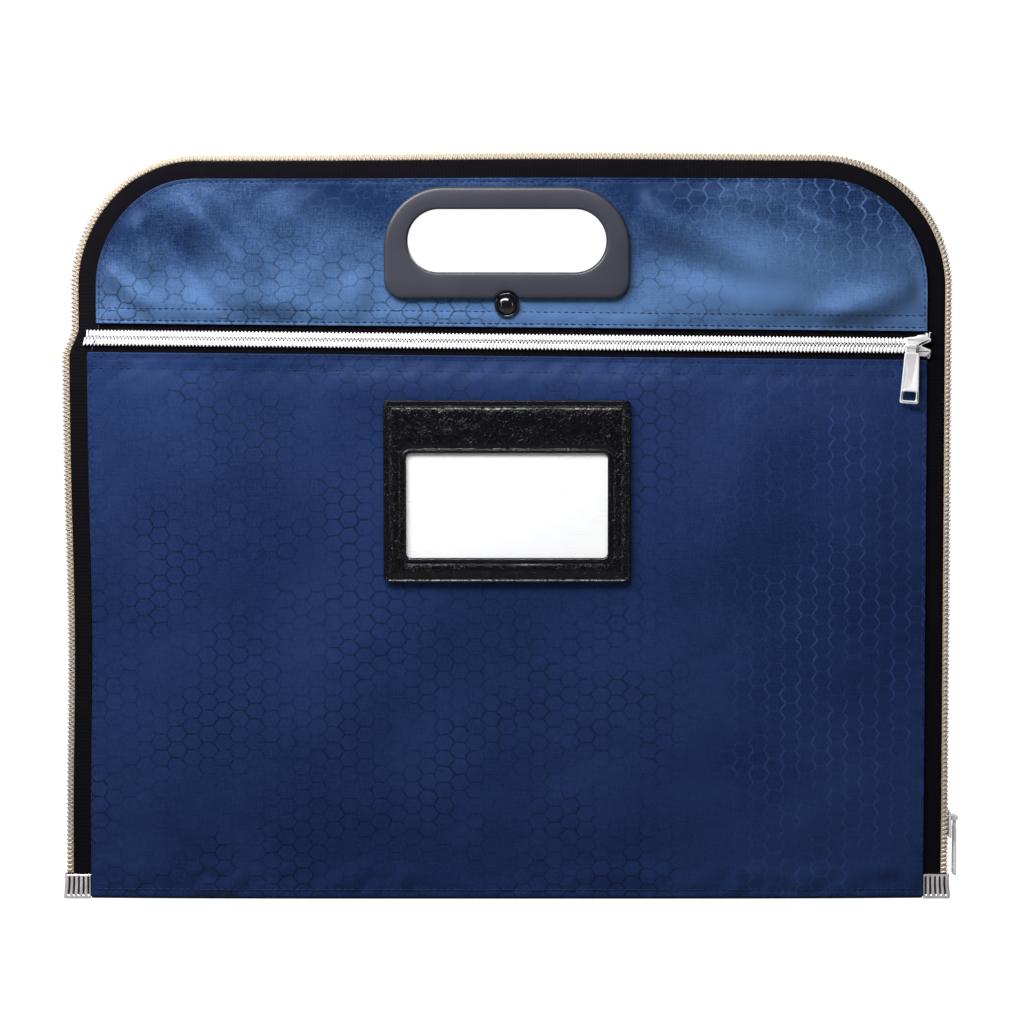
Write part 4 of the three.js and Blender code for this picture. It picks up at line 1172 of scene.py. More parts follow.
def lattice_thread(side):
    """The sewing thread over the coil: a zigzag, one stitch per turn, that crosses the wire."""
    count = int(LINE_LENGTH / COIL_PITCH) * 2
    s = np.linspace(0.4, LINE_LENGTH - 0.4, count)
    inset = np.where(np.arange(count) % 2 == 0, 0.35, 2.9)
    middle = on_line(s, inset, 3.86 - 0.1 * (inset < 1), side)
    _, _, nx, nz = outer_line(s)
    along = np.stack([-nz, 0 * nx, nx], -1)
    ahead = np.array([0.0, side, 0.0])
    return tube_body(relax(middle[:, None] + 0.2 * rings_of(along[:, None], ahead, 5)))


# %% Tapes, filler cords and coils of the main zip
for half_name, body_name, side in (("front", "front_leaf", -1), ("back", "root", 1)):
    add_piece(f"zip_tape_{half_name}", carried(tape_section(), side), body_name, TAPE,
              [f"main_zip_tape_{half_name}"])
    coil = coil_wire(side, 0.0 if side < 0 else math.pi)
    add_piece(f"zip_coil_{half_name}", coil, body_name, CREAM, [f"main_zip_coil_{half_name}"])
    add_piece(f"zip_core_{half_name}", carried(CORE_SECTION, side), body_name, GOLD_THREAD)
    add_piece(f"zip_thread_{half_name}", lattice_thread(side), body_name, WHITE_THREAD)


# %% [markdown]
# ## The pocket zip
# The pocket zip is straight. Its two coils lie flat, side by side, and behind the slider they part and
# fan out. The same helix is used, with its axis moved apart near the slider.

# %% Pocket zip tapes and coils
POCKET_PITCH = 1.5
POCKET_START, POCKET_REACH = -CLOTH_HALF - 3.6, CLOTH_HALF + 1.2
SLIDER_LOW, SLIDER_HIGH = span("pocket_slider_body")
SLIDER_X = (SLIDER_LOW[0] + SLIDER_HIGH[0]) / 2
POCKET_DEPTH = 4.72                      # middle plane to the axis of the flat coils


def fan(x):
    """How far the coils part towards the open end of the zip."""
    return 2.5 * smooth((x - SLIDER_X + 3.5) / 9.0) ** 1.5


def pocket_line_points(share, way):
    """The axis of one flat coil, from the left end to the fanned right end."""
    x = POCKET_START + share * (POCKET_REACH - POCKET_START)
    z = zip_height(x) + way * (1.56 + fan(x))
    return np.stack([x, np.full_like(x, -POCKET_DEPTH), z], -1)


def flat_coil(way):
    """A flat helix: wide in Z, thin in Y."""
    turns = int(2 * CLOTH_HALF / POCKET_PITCH)
    line = lambda share: pocket_line_points(share, way)
    upright = lambda share: np.array([[0.0, 0.0, way]])
    ahead = lambda share: np.array([[0.0, -1.0, 0.0]])
    lead = 0.0 if way > 0 else math.pi
    return wire(line, upright, ahead, 1.42, 0.42, turns, 0.36, lead=lead)


def strip_along_zip(low, high, near, far, start, end):
    """A thin band along the pocket zip, with rounded edges, between two offsets and two depths."""
    x = np.linspace(start, end, 240)
    edge = 0.12
    section = np.array([(low + edge, far), (low, far - edge), (low, near + edge), (low + edge, near),
                        (high - edge, near), (high, near + edge), (high, far - edge), (high - edge, far)])
    z = zip_height(x)[:, None] + section[None, :, 0]
    grid = np.stack(np.broadcast_arrays(x[:, None], -section[None, :, 1], z), -1)
    u = np.append(x, x[-1])[:, None] / 10 + np.zeros((1, len(section) + 1))
    v = np.zeros_like(u) + np.append(section[:, 0], section[0, 0]) / 10
    return tube_body(relax(grid), uv=np.stack([u, v], -1))


for name, way in (("upper", 1), ("lower", -1)):
    band_half = CLOTH_HALF - 2.5
    band = strip_along_zip(*sorted((0.3 * way, 9.0 * way)), 3.3, 3.78, -band_half, band_half)
    add_piece(f"pocket_tape_{name}", band, "front_leaf", TAPE, [f"pocket_zip_tape_{name}"])
    cord_ends = POCKET_START + 1.0, CLOTH_HALF - 8.0
    cord = strip_along_zip(*sorted((0.9 * way, 2.7 * way)), 4.2, 4.95, *cord_ends)
    coil = merged([tube_body(relax(flat_coil(way))), cord])
    add_piece(f"pocket_coil_{name}", coil, "front_leaf", SILVER, [f"pocket_zip_coil_{name}"])


# %% [markdown]
# ## Outlines, plates and rings
# The hard pieces are plates with rounded edges. An outline is given by its signed distance, so that a
# smaller or larger copy of it is the same function at another level. A ray from the middle meets each
# level at one place, found by halving, and those places are joined from level to level into a surface.

# %% Outlines by signed distance
def rounded_box(low, high, top_radius, bottom_radius):
    """Signed distance to a rectangle in X and Z, with one radius above its middle and one below."""
    middle, half = (np.array(low) + high) / 2, (np.array(high) - low) / 2

    def distance(x, z):
        dx, dz = np.abs(x - middle[0]), np.abs(z - middle[1])
        radius = np.where(z > middle[1], top_radius, bottom_radius)
        qx, qz = dx - half[0] + radius, dz - half[1] + radius
        outside = np.hypot(np.clip(qx, 0, None), np.clip(qz, 0, None))
        return outside + np.minimum(np.maximum(qx, qz), 0) - radius
    return distance


def ray_ring(distance, level, centre, angles, far=80.0):
    """Where rays from a centre reach a level of the distance, by halving the interval 26 times."""
    near, beyond = np.zeros_like(angles), np.full_like(angles, far)
    c, s = np.cos(angles), np.sin(angles)
    for _ in range(26):
        middle = (near + beyond) / 2
        inside = distance(centre[0] + middle * c, centre[1] + middle * s) < level
        near, beyond = np.where(inside, middle, near), np.where(inside, beyond, middle)
    return np.stack([centre[0] + near * c, centre[1] + near * s], -1)


def box_angles(low, high, centre, count):
    """Ray directions spread evenly round a rectangle's edge, so that long sides get their share."""
    width, height = high[0] - low[0], high[1] - low[1]
    t = np.linspace(0, 2 * (width + height), count, endpoint=False) + 0.013
    sides = [t < width, t < width + height, t < 2 * width + height]
    x = np.select(sides, [low[0] + t, high[0] + 0 * t, high[0] - (t - width - height)], low[0] + 0 * t)
    last = high[1] - (t - 2 * width - height)
    z = np.select(sides, [low[1] + 0 * t, low[1] + (t - width), high[1] + 0 * t], last)
    return np.arctan2(z - centre[1], x - centre[0])


def layered(levels, centre, angles, loop=False):
    """A body through rings, each given as (distance, level, y). A loop has a hole, others get caps."""
    rings = []
    for distance, level, y in levels:
        ring = ray_ring(distance, level, centre, angles)
        rings.append(np.stack([ring[:, 0], np.full(len(ring), y), ring[:, 1]], -1))
    return tube_body(np.array(rings), loop_rows=loop)


# %% [markdown]
# ## The metal end clips
# Each clip is a strip of plated steel, folded round the end of the zip and crimped. Crimping presses
# four grooves into it and leaves five ribs, and the foot of the clip spreads a little. The section is a
# U seen from above, and both its height and the depth of its grooves are functions of the place.

# %% End clips
CLIP_LOW, CLIP_HIGH = span("end_clip_right")
CLIP_WALL, CLIP_BEND, CLIP_GROOVE = 0.8, 1.3, 0.7        # sheet, radius of its fold, and groove depth


def clip_body(side):
    """Rows up the clip by points round its folded section: outside front, outer bend, back, inside. The
    UV map holds the depth of the grooves, painted as shade by the material, and the inside is painted fully
    dark."""
    rise = [0, 0.15, 0.45, 1.0, 1.5, 1.9, 2.3, 3.2, 4.4, 5.8, 7.2, 8.2, 8.8, 9.2, 9.6, 10.0, 10.2, 10.3]
    inner, outer = CLIP_LOW[0], CLIP_HIGH[0]
    half = CLIP_HIGH[1]
    u = np.linspace(0, 1, 61)
    ribs = 0.5 + 0.5 * np.cos(2 * math.pi * (u * 4.9 + 0.05))
    groove = 1 - smooth(ribs / 0.7)
    rows, painted_shade_rows = [], []
    for z in rise:
        spread = 0.55 * (1 - smooth(z / 7.0))
        pressed = float(smooth((z - 1.1) / 1.0) * smooth((9.9 - z) / 0.9))
        lip = 0.14 * math.exp(-(((z - 0.7) / 0.5) ** 2)) + 0.1 * math.exp(-(((z - 9.9) / 0.35) ** 2))
        rim = 0.2 * (1 - float(smooth(z / 0.3))) + 0.2 * (1 - float(smooth((10.3 - z) / 0.3)))
        depth = half + 0.05 + lip - rim - CLIP_GROOVE * groove * pressed
        x = inner + u * (outer - CLIP_BEND - inner + spread)
        turn = np.linspace(0, math.pi, 15)[1:-1]
        bend_x = x[-1] + CLIP_BEND * np.sin(turn)
        bend_y = -depth[-1] * np.cos(turn)
        outside = np.concatenate([np.stack([x, -depth], 1), np.stack([bend_x, bend_y], 1),
                                  np.stack([x, depth], 1)[::-1]])
        inside_y = half - CLIP_WALL
        inside_x = outer - CLIP_WALL - 0.3
        inside = [(inner + 0.02, inside_y), (inside_x - 0.6, inside_y), (inside_x, inside_y - 0.6)]
        inside = np.array(inside + [(x, -y) for x, y in inside[::-1]])
        loop = np.concatenate([outside, inside])
        rows.append(np.column_stack([side * loop[:, 0], loop[:, 1], np.full(len(loop), z)]))
        # Painted shade map: groove depth on front and back, none on the bend, full on the inside.
        deep, unshaded, dark = pressed * groove, np.zeros(len(turn)), np.ones(len(inside))
        painted_shade_rows.append(np.concatenate([deep, unshaded, deep[::-1], dark, deep[:1]]))
    painted_shade_rows = np.array(painted_shade_rows + painted_shade_rows[-1:])
    return tube_body(np.array(rows), uv=np.stack([painted_shade_rows, painted_shade_rows], -1))


for name, side in (("left", -1), ("right", 1)):
    add_piece(f"crimped_clip_{name}", clip_body(side), "root", CRIMPED,
              [f"end_clip_{name}"], angle=50)


# %% [markdown]
# ## The hand grip
# Two identical plates are pressed together through the cloth, with a stadium-shaped hole for the hand.
# A plate's section is carried round the hole: out over the face, round the edge, and back along the
# collar that goes through the cloth. A half-round notch leaves room for the snap.

# %% Grip plates
def grip_body(side):
    """A ring-shaped plate: inner wall, rounded inner edge, slightly crowned face, rounded outer edge."""
    low, high = (GRIP_LOW[0], GRIP_LOW[2]), (GRIP_HIGH[0], GRIP_HIGH[2])
    plate = rounded_box(low, high, 25.0, 8.0)
    hole_low, hole_high = (-41.7, GRIP_LOW[2] + 10.8), (41.7, GRIP_HIGH[2] - 9.3)
    hole = rounded_box(hole_low, hole_high, 13.2, 13.2)
    centre = (0.0, (hole_low[1] + hole_high[1]) / 2)

    def notched(x, z):
        return np.maximum(plate(x, z), 5.6 - np.hypot(x - SNAP[0], z - SNAP[2]))

    back, face = 5.32, 8.15
    levels = [(hole, 0.0, 2.5), (hole, 0.0, 5.0)]
    turn = np.linspace(0, math.pi / 2, 6)
    levels += [(hole, 0.95 * (1 - math.cos(t)), face - 0.1 - 0.95 * (1 - math.sin(t))) for t in turn]
    levels += [(hole, 1.5, face - 0.04), (hole, 3.2, face + 0.06)]
    levels += [(notched, -3.6, face + 0.06), (notched, -2.2, face - 0.02)]
    levels += [(notched, -1.45 * (1 - math.sin(t)), face - 0.08 - 1.5 * (1 - math.cos(t))) for t in turn]
    levels += [(notched, 0.0, back + 0.25), (notched, -0.3, back), (hole, 1.5, back), (hole, 1.5, 2.5)]
    angles = box_angles(low, high, centre, 420)
    signed = [(distance, level, side * y) for distance, level, y in levels]
    return layered(signed, centre, angles, loop=True)


for name, body_name, side in (("front", "front_leaf", -1), ("back", "root", 1)):
    add_piece(f"grip_{name}", grip_body(side), body_name, GREY,
              [f"{name}_handle_plate"], angle=50)


# %% [markdown]
# ## The snap
# The snap's cap is turned, so it is a profile spun about the Y axis: a ring round a polished dome, with
# a groove between them that gives the cap its dark circle.

# %% Snap caps
def spun(profile, centre, side, count=72):
    """A profile of (radius, depth) turned about Y through a centre, closed at its poles by caps."""
    angles = np.linspace(0, 2 * math.pi, count, endpoint=False)
    profile = np.array(profile)
    x = centre[0] + profile[:, :1] * np.cos(angles)
    z = centre[2] + profile[:, :1] * np.sin(angles)
    y = np.broadcast_to(side * profile[:, 1:], x.shape)
    return tube_body(np.stack([x, y, z], -1))


def dome(radius, low, high, count=10):
    """Profile points of a dome: radius cos(t), and low plus the rise times sin(t)."""
    turn = np.linspace(0, math.pi / 2 - 0.03, count)
    return [(radius * math.cos(t), low + (high - low) * math.sin(t)) for t in turn]


quarter = np.linspace(0, math.pi / 2, 6)
rim_round = [(5.25 - 0.55 * (1 - math.cos(t)), 6.0 + 0.75 * math.sin(t)) for t in quarter]
cap_profile = [(0.02, 4.0), (1.2, 4.0), (1.2, 5.3), (5.1, 5.3), (5.25, 5.5), *rim_round]
cap_profile += [(4.45, 6.74), (4.2, 6.5), (4.0, 6.3), (3.85, 6.5), *dome(3.7, 6.9, 8.5)]
add_piece("snap_button", spun(cap_profile, SNAP, -1), "front_leaf", GLOSS,
          ["snap_cap"], angle=60)
back_profile = [(0.02, 4.0), (1.2, 4.0), (1.2, 5.3), (4.3, 5.3), (4.45, 5.5), (4.4, 5.85), (4.1, 6.05)]
back_profile += dome(3.6, 6.05, 6.85)
add_piece("snap_rivet", spun(back_profile, SNAP, 1), "root", GLOSS,
          ["snap_back_cap"], angle=60)


# %% [markdown]
# ## The card holder
# The holder is vinyl sheet, welded at its rim to a backing sheet and open at its top. The face swells
# over the card, dips to the weld at the rim, and carries a welded bead round its window. The clear film
# is welded behind the window, and the card stands behind the film.

# %% Holder face, backing, film and card
holder = rounded_box(*HOLDER_BOX, 2.2, 2.8)
PANE_LOW, PANE_HIGH = span("card_window")
WINDOW_LOW = (PANE_LOW[0] + 2.0, PANE_LOW[2] + 2.0)
WINDOW_HIGH = (PANE_HIGH[0] - 2.0, PANE_HIGH[2] - 2.0)
window = rounded_box(WINDOW_LOW, WINDOW_HIGH, 2.0, 2.0)
window_centre = ((WINDOW_LOW[0] + WINDOW_HIGH[0]) / 2, (WINDOW_LOW[1] + WINDOW_HIGH[1]) / 2)
holder_angles = box_angles(*HOLDER_BOX, window_centre, 560)


def holder_face():
    """Rings from the back of the rim, over the weld lip, the swelling face and the bead, to the window."""
    outer = [(0.0, 10.35), (0.05, 10.6), (-0.15, 10.95), (-0.5, 11.12), (-0.85, 11.02), (-1.2, 10.7),
             (-1.7, 10.62), (-2.4, 10.88), (-3.2, 11.22), (-4.2, 11.5)]
    inner = [(3.6, 11.5), (2.9, 11.34), (2.35, 11.0), (2.05, 10.98), (1.75, 11.35), (1.35, 11.58),
             (0.9, 11.6), (0.45, 11.45), (0.15, 11.15), (0.0, 10.8), (0.0, 10.6), (1.6, 10.6)]

    def face_ring(share):
        """A distance blended from the last outer ring's level to the first inner ring's."""
        return lambda x, z: (1 - share) * (holder(x, z) + 4.2) + share * (window(x, z) - 3.6)

    levels = [(holder, level, -y) for level, y in outer]
    for share in np.arange(1, 12) / 12:
        levels.append((face_ring(share), 0.0, -11.5 - 0.12 * math.sin(math.pi * share)))
    levels += [(window, level, -y) for level, y in inner]
    levels.append((holder, -2.0, -10.4))
    points, faces, uvs = layered(levels, window_centre, holder_angles, loop=True)
    hold = near_box(points[:, 0], points[:, 2], WINDOW_LOW, WINDOW_HIGH, 4.0)
    wave = 0.09 * ripples(points[:, 0], points[:, 2], 41, 18, 9.0, 34.0)
    rim = smooth((-holder(points[:, 0], points[:, 2]) - 2.0) / 3.0)
    points = points.copy()
    points[:, 1] -= wave * (1 - hold) * rim * (points[:, 1] < -10.9)
    return points, faces, uvs


def bar_body(start, end, radius_y, radius_z, sides=14, count=160):
    """A rounded bar along X with an oval section and rounded ends."""
    share = np.linspace(0, 1, count)
    cap = 0.012                              # share of the length that a rounded end takes up
    round_end = np.sqrt(1 - np.clip((cap - np.minimum(share, 1 - share)) / cap, 0, 0.97) ** 2)
    ring = np.linspace(0, 2 * math.pi, sides, endpoint=False)
    start, end = np.array(start), np.array(end)
    middle = start + share[:, None] * (end - start)
    y = radius_y * np.cos(ring)[None, :] * round_end[:, None]
    z = radius_z * np.sin(ring)[None, :] * round_end[:, None]
    x = np.broadcast_to(middle[:, :1], y.shape)
    return tube_body(np.stack([x, middle[:, 1:2] + y, middle[:, 2:] + z], -1))


def rail_body():
    """The welded sides and foot behind the face: a U-shaped strip, 3.3 mm wide."""
    (left, low), (right, high) = HOLDER_BOX + np.array([(1.75, 1.75), (-1.75, -0.5)])
    corner = 1.6
    bend = [(left + corner * (1 - math.cos(t)), low + corner * (1 - math.sin(t)))
            for t in np.linspace(0, math.pi / 2, 7)]
    half_route = [(left, high), *bend]
    route = np.array(half_route + [(right - x + left, z) for x, z in half_route[::-1]])
    along = np.gradient(route, axis=0)
    along /= np.linalg.norm(along, axis=1)[:, None]
    aside = np.stack([along[:, 1], -along[:, 0]], -1)
    section = np.array([(-1.6, 9.0), (-1.6, 10.4), (1.6, 10.4), (1.6, 9.0)])
    flat = route[:, None] + section[None, :, :1] * aside[:, None]
    y = np.broadcast_to(-section[:, 1], flat.shape[:2])
    return tube_body(np.stack([flat[..., 0], y, flat[..., 1]], -1))


backing_levels = [(holder, -0.4, -8.62), (holder, -0.05, -8.72), (holder, 0.0, -8.9), (holder, -0.2, -9.08)]
backing = layered(backing_levels, window_centre, holder_angles)
add_piece("holder_backing", merged([backing, rail_body()]), "front_leaf", VINYL,
          ["card_holder_back"])


def holder_bar(inset, depth, drop, radius_y, radius_z):
    """A bar across the holder, a drop below its open top and an inset from both of its sides."""
    z = HOLDER_HIGH[2] - drop
    left, right = HOLDER_LOW[0] + inset, HOLDER_HIGH[0] - inset
    return bar_body((left, -depth, z), (right, -depth, z), radius_y, radius_z)


mouth = holder_bar(0.4, 10.75, 0.1, 0.55, 0.5)
fold_line = holder_bar(1.2, 10.95, 2.3, 0.4, 0.3)
add_piece("holder_face", merged([holder_face(), mouth, fold_line]), "front_leaf", VINYL,
          ["card_holder_face"], angle=55)

pane_x, pane_z = np.meshgrid(
    np.linspace(PANE_LOW[0], PANE_HIGH[0], 60), np.linspace(PANE_LOW[2], PANE_HIGH[2], 34))
pane_wave = 0.05 * ripples(pane_x, pane_z, 51, 8, 25.0, 70.0)
pane_faces = [np.stack([pane_x, -depth - pane_wave, pane_z], -1) for depth in (10.3, 10.12)]
add_piece("holder_film", shell_body(*pane_faces), "front_leaf", FILM, ["card_window"])

CARD_BOX = np.array(span("name_card"))[:, [0, 2]]
card = rounded_box(*CARD_BOX, 0.8, 0.8)
card_centre = tuple(CARD_BOX.mean(0))
card_angles = box_angles(*CARD_BOX, card_centre, 240)
card_levels = [(card, -0.06, -9.42), (card, 0.0, -9.48), (card, 0.0, -9.67), (card, -0.06, -9.73)]
add_piece("blank_card", layered(card_levels, card_centre, card_angles), "name_card", PAPER,
          ["name_card"])


# %% [markdown]
# ## Sliders and pull tabs
# A slider is two plates joined by a wedge. Its front plate is broad where the coils go in and has a V
# between two shoulders. A bridge on it holds the pull tab, a long tab with a window near its end. Only
# the pocket slider is made again here: the main one keeps its CAD shape.

# %% Plates with any outline
def outline_plate(outline, levels):
    """A plate whose rings are the outline moved in along its own normals, each at a depth."""
    outline = np.array(outline, float)
    along = np.roll(outline, -1, 0) - np.roll(outline, 1, 0)
    along /= np.linalg.norm(along, axis=1)[:, None]
    inward = np.stack([-along[:, 1], along[:, 0]], -1)
    rings = []
    for inset, y in levels:
        ring = outline + inset * inward
        rings.append(np.column_stack([ring[:, 0], np.full(len(ring), y), ring[:, 1]]))
    return tube_body(np.array(rings))


def rounded_outline(corners, radius=0.6, steps=5):
    """Corner points, each cut off by a quadratic curve that starts and ends a radius away from it."""
    corners = np.array(corners, float)
    result = []
    for i, corner in enumerate(corners):
        before, after = corners[i - 1] - corner, corners[(i + 1) % len(corners)] - corner
        start = corner + before / np.linalg.norm(before) * min(radius, np.linalg.norm(before) * 0.45)
        end = corner + after / np.linalg.norm(after) * min(radius, np.linalg.norm(after) * 0.45)
        t = np.linspace(0, 1, steps)[:, None]
        result.append((1 - t) ** 2 * start + 2 * t * (1 - t) * corner + t ** 2 * end)
    return np.concatenate(result)


def round_tube(route, radius, squash=1.0):
    """A round bar through a smooth route of points, with a frame that leans on a fixed direction."""
    route = np.array(route, float)
    along = np.gradient(route, axis=0)
    along /= np.linalg.norm(along, axis=1)[:, None]
    normal = np.cross(along, np.array([0.0, 0.0, 1.0]))
    normal /= np.linalg.norm(normal, axis=1)[:, None]
    cross = np.cross(along, normal)
    return tube_body(route[:, None] + radius * rings_of(normal[:, None], cross[:, None], 12, squash))


# %% The slider, in a frame of its own: nose to +X, plate facing -Y, middle of the chain's face at 0
SLIDER_OUTLINE = rounded_outline([
    (-5.5, -3.3), (-1.6, -3.7), (1.2, -4.55), (3.4, -4.5), (5.2, -2.9), (5.3, -1.75), (1.5, -0.35),
    (1.5, 0.35), (5.3, 1.75), (5.2, 2.9), (3.4, 4.5), (1.2, 4.55), (-1.6, 3.7), (-5.5, 3.3)], 0.7)
BAIL_X = -2.7
BAR_DEPTH = 2.9


def slider_shape(back_depth, half_back, wedge_end):
    """Front plate, side flanges, back plate, wedge and the arched bridge that holds the pull."""
    face = [(0.0, -0.3), (0.0, -0.85), (0.12, -1.08), (0.35, -1.22), (1.1, -1.3)]
    front = outline_plate(SLIDER_OUTLINE, face)
    flanges = []
    for way in (-1, 1):
        edge_corners = [(-0.5, 3.65 * way), (3.4, 3.65 * way), (3.4, 4.5 * way), (-0.5, 4.35 * way)]
        edge = rounded_outline(edge_corners, 0.3, 3)[::way]
        flanges.append(outline_plate(edge, [(0.0, -0.6), (0.0, 0.7), (0.15, 0.85)]))
    back_corners = [(-5.4, -half_back), (wedge_end, -half_back), (wedge_end, half_back), (-5.4, half_back)]
    back_levels = [(0.1, 0.0), (0.0, 0.15), (0.0, 0.4), (0.12, 0.55)]
    back_levels = [(inset, back_depth + thick) for inset, thick in back_levels]
    back = outline_plate(rounded_outline(back_corners, 1.0), back_levels)
    wedge_corners = [(-2.7, -0.14), (wedge_end, -0.14), (wedge_end, 0.14), (-2.7, 0.14)]
    wedge = outline_plate(rounded_outline(wedge_corners, 0.08, 3), [(0, -0.6), (0, back_depth + 0.2)])
    t = np.linspace(0, math.pi, 26)
    arch = np.stack([BAIL_X + 2.25 * -np.sign(np.cos(t)) * np.abs(np.cos(t)) ** 0.45,
                     -0.8 - (BAR_DEPTH - 0.8) * np.sin(t) ** 0.45, 0 * t], -1)
    bridge = round_tube(arch, 0.55, squash=1.25)
    return merged([front, *flanges, back, wedge, bridge])


def pull_shape():
    """An eye round the bridge, a neck, and a tapered tab with a raised rim and a window at its end."""
    top, tip = -2.9, -24.2
    hole_low, hole_high = (-2.75, tip + 1.3), (2.75, tip + 5.0)
    hole = rounded_box(hole_low, hole_high, 0.9, 0.7)
    centre = (0.0, (hole_low[1] + hole_high[1]) / 2)
    narrow, wide, radius = 3.05, 3.95, 0.9
    slope = (wide - narrow) / (top - tip)

    def blade(x, z):
        """Distance to the tapered tab, with round corners."""
        side = (np.abs(x) - (narrow + (top - z) * slope)) / math.hypot(1, slope) + radius
        ends = np.maximum(z - top, tip - z) + radius
        corner = np.hypot(np.clip(side, 0, None), np.clip(ends, 0, None))
        return corner + np.minimum(np.maximum(side, ends), 0) - radius

    half = 0.6
    outer = [(0.0, -0.3), (0.0, 0.3), (-0.12, 0.5), (-0.35, half), (-0.75, half), (-1.0, half - 0.18)]
    inner = [(1.0, half - 0.18), (0.75, half), (0.3, half), (0.08, half - 0.15), (0.0, 0.25), (0.0, -0.25)]
    levels = [(blade, l, -y) for l, y in outer] + [(hole, l, -y) for l, y in inner]
    levels += [(hole, l, y) for l, y in inner[:4][::-1]] + [(blade, l, y) for l, y in outer[2:][::-1]]
    spread = box_angles((-3.5, tip), (3.5, top), centre, 200)
    tab = layered(levels, centre, spread, loop=True)
    t = np.linspace(0, 2 * math.pi, 33)[:-1]
    section = np.array([(-1.5, 0.86), (-1.5, 1.4), (1.5, 1.4), (1.5, 0.86)])
    eye_grid = np.stack([
        np.broadcast_to(section[None, :, 0], (32, 4)),
        section[None, :, 1] * np.cos(t)[:, None], section[None, :, 1] * np.sin(t)[:, None]], -1)
    eye = tube_body(eye_grid, loop_rows=True)
    neck_corners = [(-1.5, -3.4), (1.5, -3.4), (1.5, -1.1), (-1.5, -1.1)]
    neck_levels = [(0.1, 0.45), (0, 0.3), (0, -0.3), (0.1, -0.45)]
    neck = outline_plate(rounded_outline(neck_corners, 0.3, 3), neck_levels)
    return merged([tab, eye, neck])


def placed(body, centre, degrees):
    """A body turned about Y and moved from its own frame into the bag."""
    points, faces, uvs = body
    x, y, z = points.T
    c, s = math.cos(math.radians(degrees)), math.sin(math.radians(degrees))
    return np.stack([x * c + z * s, y, z * c - x * s], -1) + np.array(centre), faces, uvs


# %% Put the sliders and pulls on their zips
CHAIN_FACE = 5.3                         # depth of the front of the pocket zip's coils
PULL_SWING = 3.2                         # degrees that the hanging pull leans to one side
zip_turn = math.degrees(math.atan(ZIP_SLOPE))
slider_centre = (SLIDER_X, -CHAIN_FACE, zip_height(SLIDER_X))
pocket_slider = placed(slider_shape(2.35, 4.4, 0.45), slider_centre, zip_turn)
add_piece("pocket_slider", pocket_slider, "pocket_slider", PLATED, ["pocket_slider_body"])
bar_centre = (SLIDER_X + BAIL_X, -CHAIN_FACE - BAR_DEPTH, zip_height(SLIDER_X + BAIL_X))
pocket_pull = placed(pull_shape(), bar_centre, PULL_SWING)
add_piece("pocket_pull", pocket_pull, "pocket_pull", PLATED, ["pocket_pull_tab"])


# %% [markdown]
# The CAD shapes of the main slider and its pull, the clinch rings inside the grip, the snap's inner
# halves and the hidden zip ends are right as they are. They keep their meshes and get the finishes.

# %% Finishes on the CAD nodes that stay
def finish_node(node, material):
    """Puts a material in every slot of a CAD node."""
    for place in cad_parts[node].material_slots:
        place.material = material


CAD_FINISHES = {
    PLATED: ("main_slider_body", "main_pull_tab"),
    STEEL: ("snap_socket", "snap_stud"),
    GREY: ("front_handle_ring", "back_handle_ring"),
    TAPE: ("zip_tail_left", "zip_tail_right"),
}
for finish, nodes in CAD_FINISHES.items():
    for node in nodes:
        finish_node(node, finish)
    print(finish.name, "on", ", ".join(nodes))


# %% [markdown]
# ## Stitches
# A seam is only believable with its thread. One stitch is a low, rounded bead of thread, and a row is
# the same few faces set down again and again along a line, facing the way its panel faces.

# %% Rows of stitches
STITCH_PITCH, STITCH_LENGTH = 2.9, 2.1
THREAD_RADIUS, THREAD_RISE = 0.19, 0.1


def stitch_row(points, outward):
    """One bead of thread in every gap between two points: a spindle, thickest in its middle."""
    start, end = points[:-1], points[1:]
    along = end - start
    along = along / np.linalg.norm(along, axis=1)[:, None]
    cross = np.cross(along, outward)
    cross /= np.linalg.norm(cross, axis=1)[:, None]
    up = np.cross(cross, along)
    share = np.array([-0.5, -0.38, 0.0, 0.38, 0.5])
    thick = np.array([0.25, 0.8, 1.0, 0.8, 0.25])
    middle = (start + end) / 2 + up * THREAD_RISE
    centre = middle[:, None] + along[:, None] * (share * STITCH_LENGTH)[None, :, None]
    arch = up[:, None] * (0.16 * (np.abs(share) < 0.2))[None, :, None]
    around = rings_of(cross[:, None], up[:, None], 6)
    grid = (centre + arch)[:, :, None] + THREAD_RADIUS * thick[None, :, None, None] * around[:, None]
    starts = (np.arange(len(grid)) * 30)[:, None]        # each bead has 5 rings of 6 points
    quads = (grid_quads(5, 6, False, True)[0][None] + starts[:, None]).reshape(-1, 4)
    groups = [quads, np.arange(6)[None, ::-1] + starts, np.arange(24, 30)[None, :] + starts]
    uvs = [np.zeros(group.shape + (2,)) for group in groups]
    return facing_out(grid.reshape(-1, 3), groups, uvs)


FRONT = np.array([0.0, -1.0, 0.0])
stitch_count = int(2 * CLOTH_HALF / STITCH_PITCH)
seam_x = np.linspace(-CLOTH_HALF + 1.5, CLOTH_HALF - 1.5, stitch_count)
rows = []
for distance, lift in ((HEM_STITCH, 0.1), (SECOND_STITCH, -0.08)):
    for line, way in ((upper_line, 1), (pocket_line, -1)):
        seam_z = line(seam_x) + way * distance
        rim = np.minimum(distance, CLOTH_HALF - np.abs(seam_x))
        edge = settle(rim, front_depth(seam_x, seam_z), plain_depth(seam_x, seam_z))
        seam = relax(np.stack([seam_x, -(edge + lift), seam_z], -1))
        rows.append(stitch_row(seam, FRONT))
add_piece("hem_stitches", merged([rows[0], rows[2]]), "front_leaf", NAVY_THREAD)
add_piece("pocket_hem_stitches", merged([rows[1], rows[3]]), "front_leaf", NAVY_THREAD)

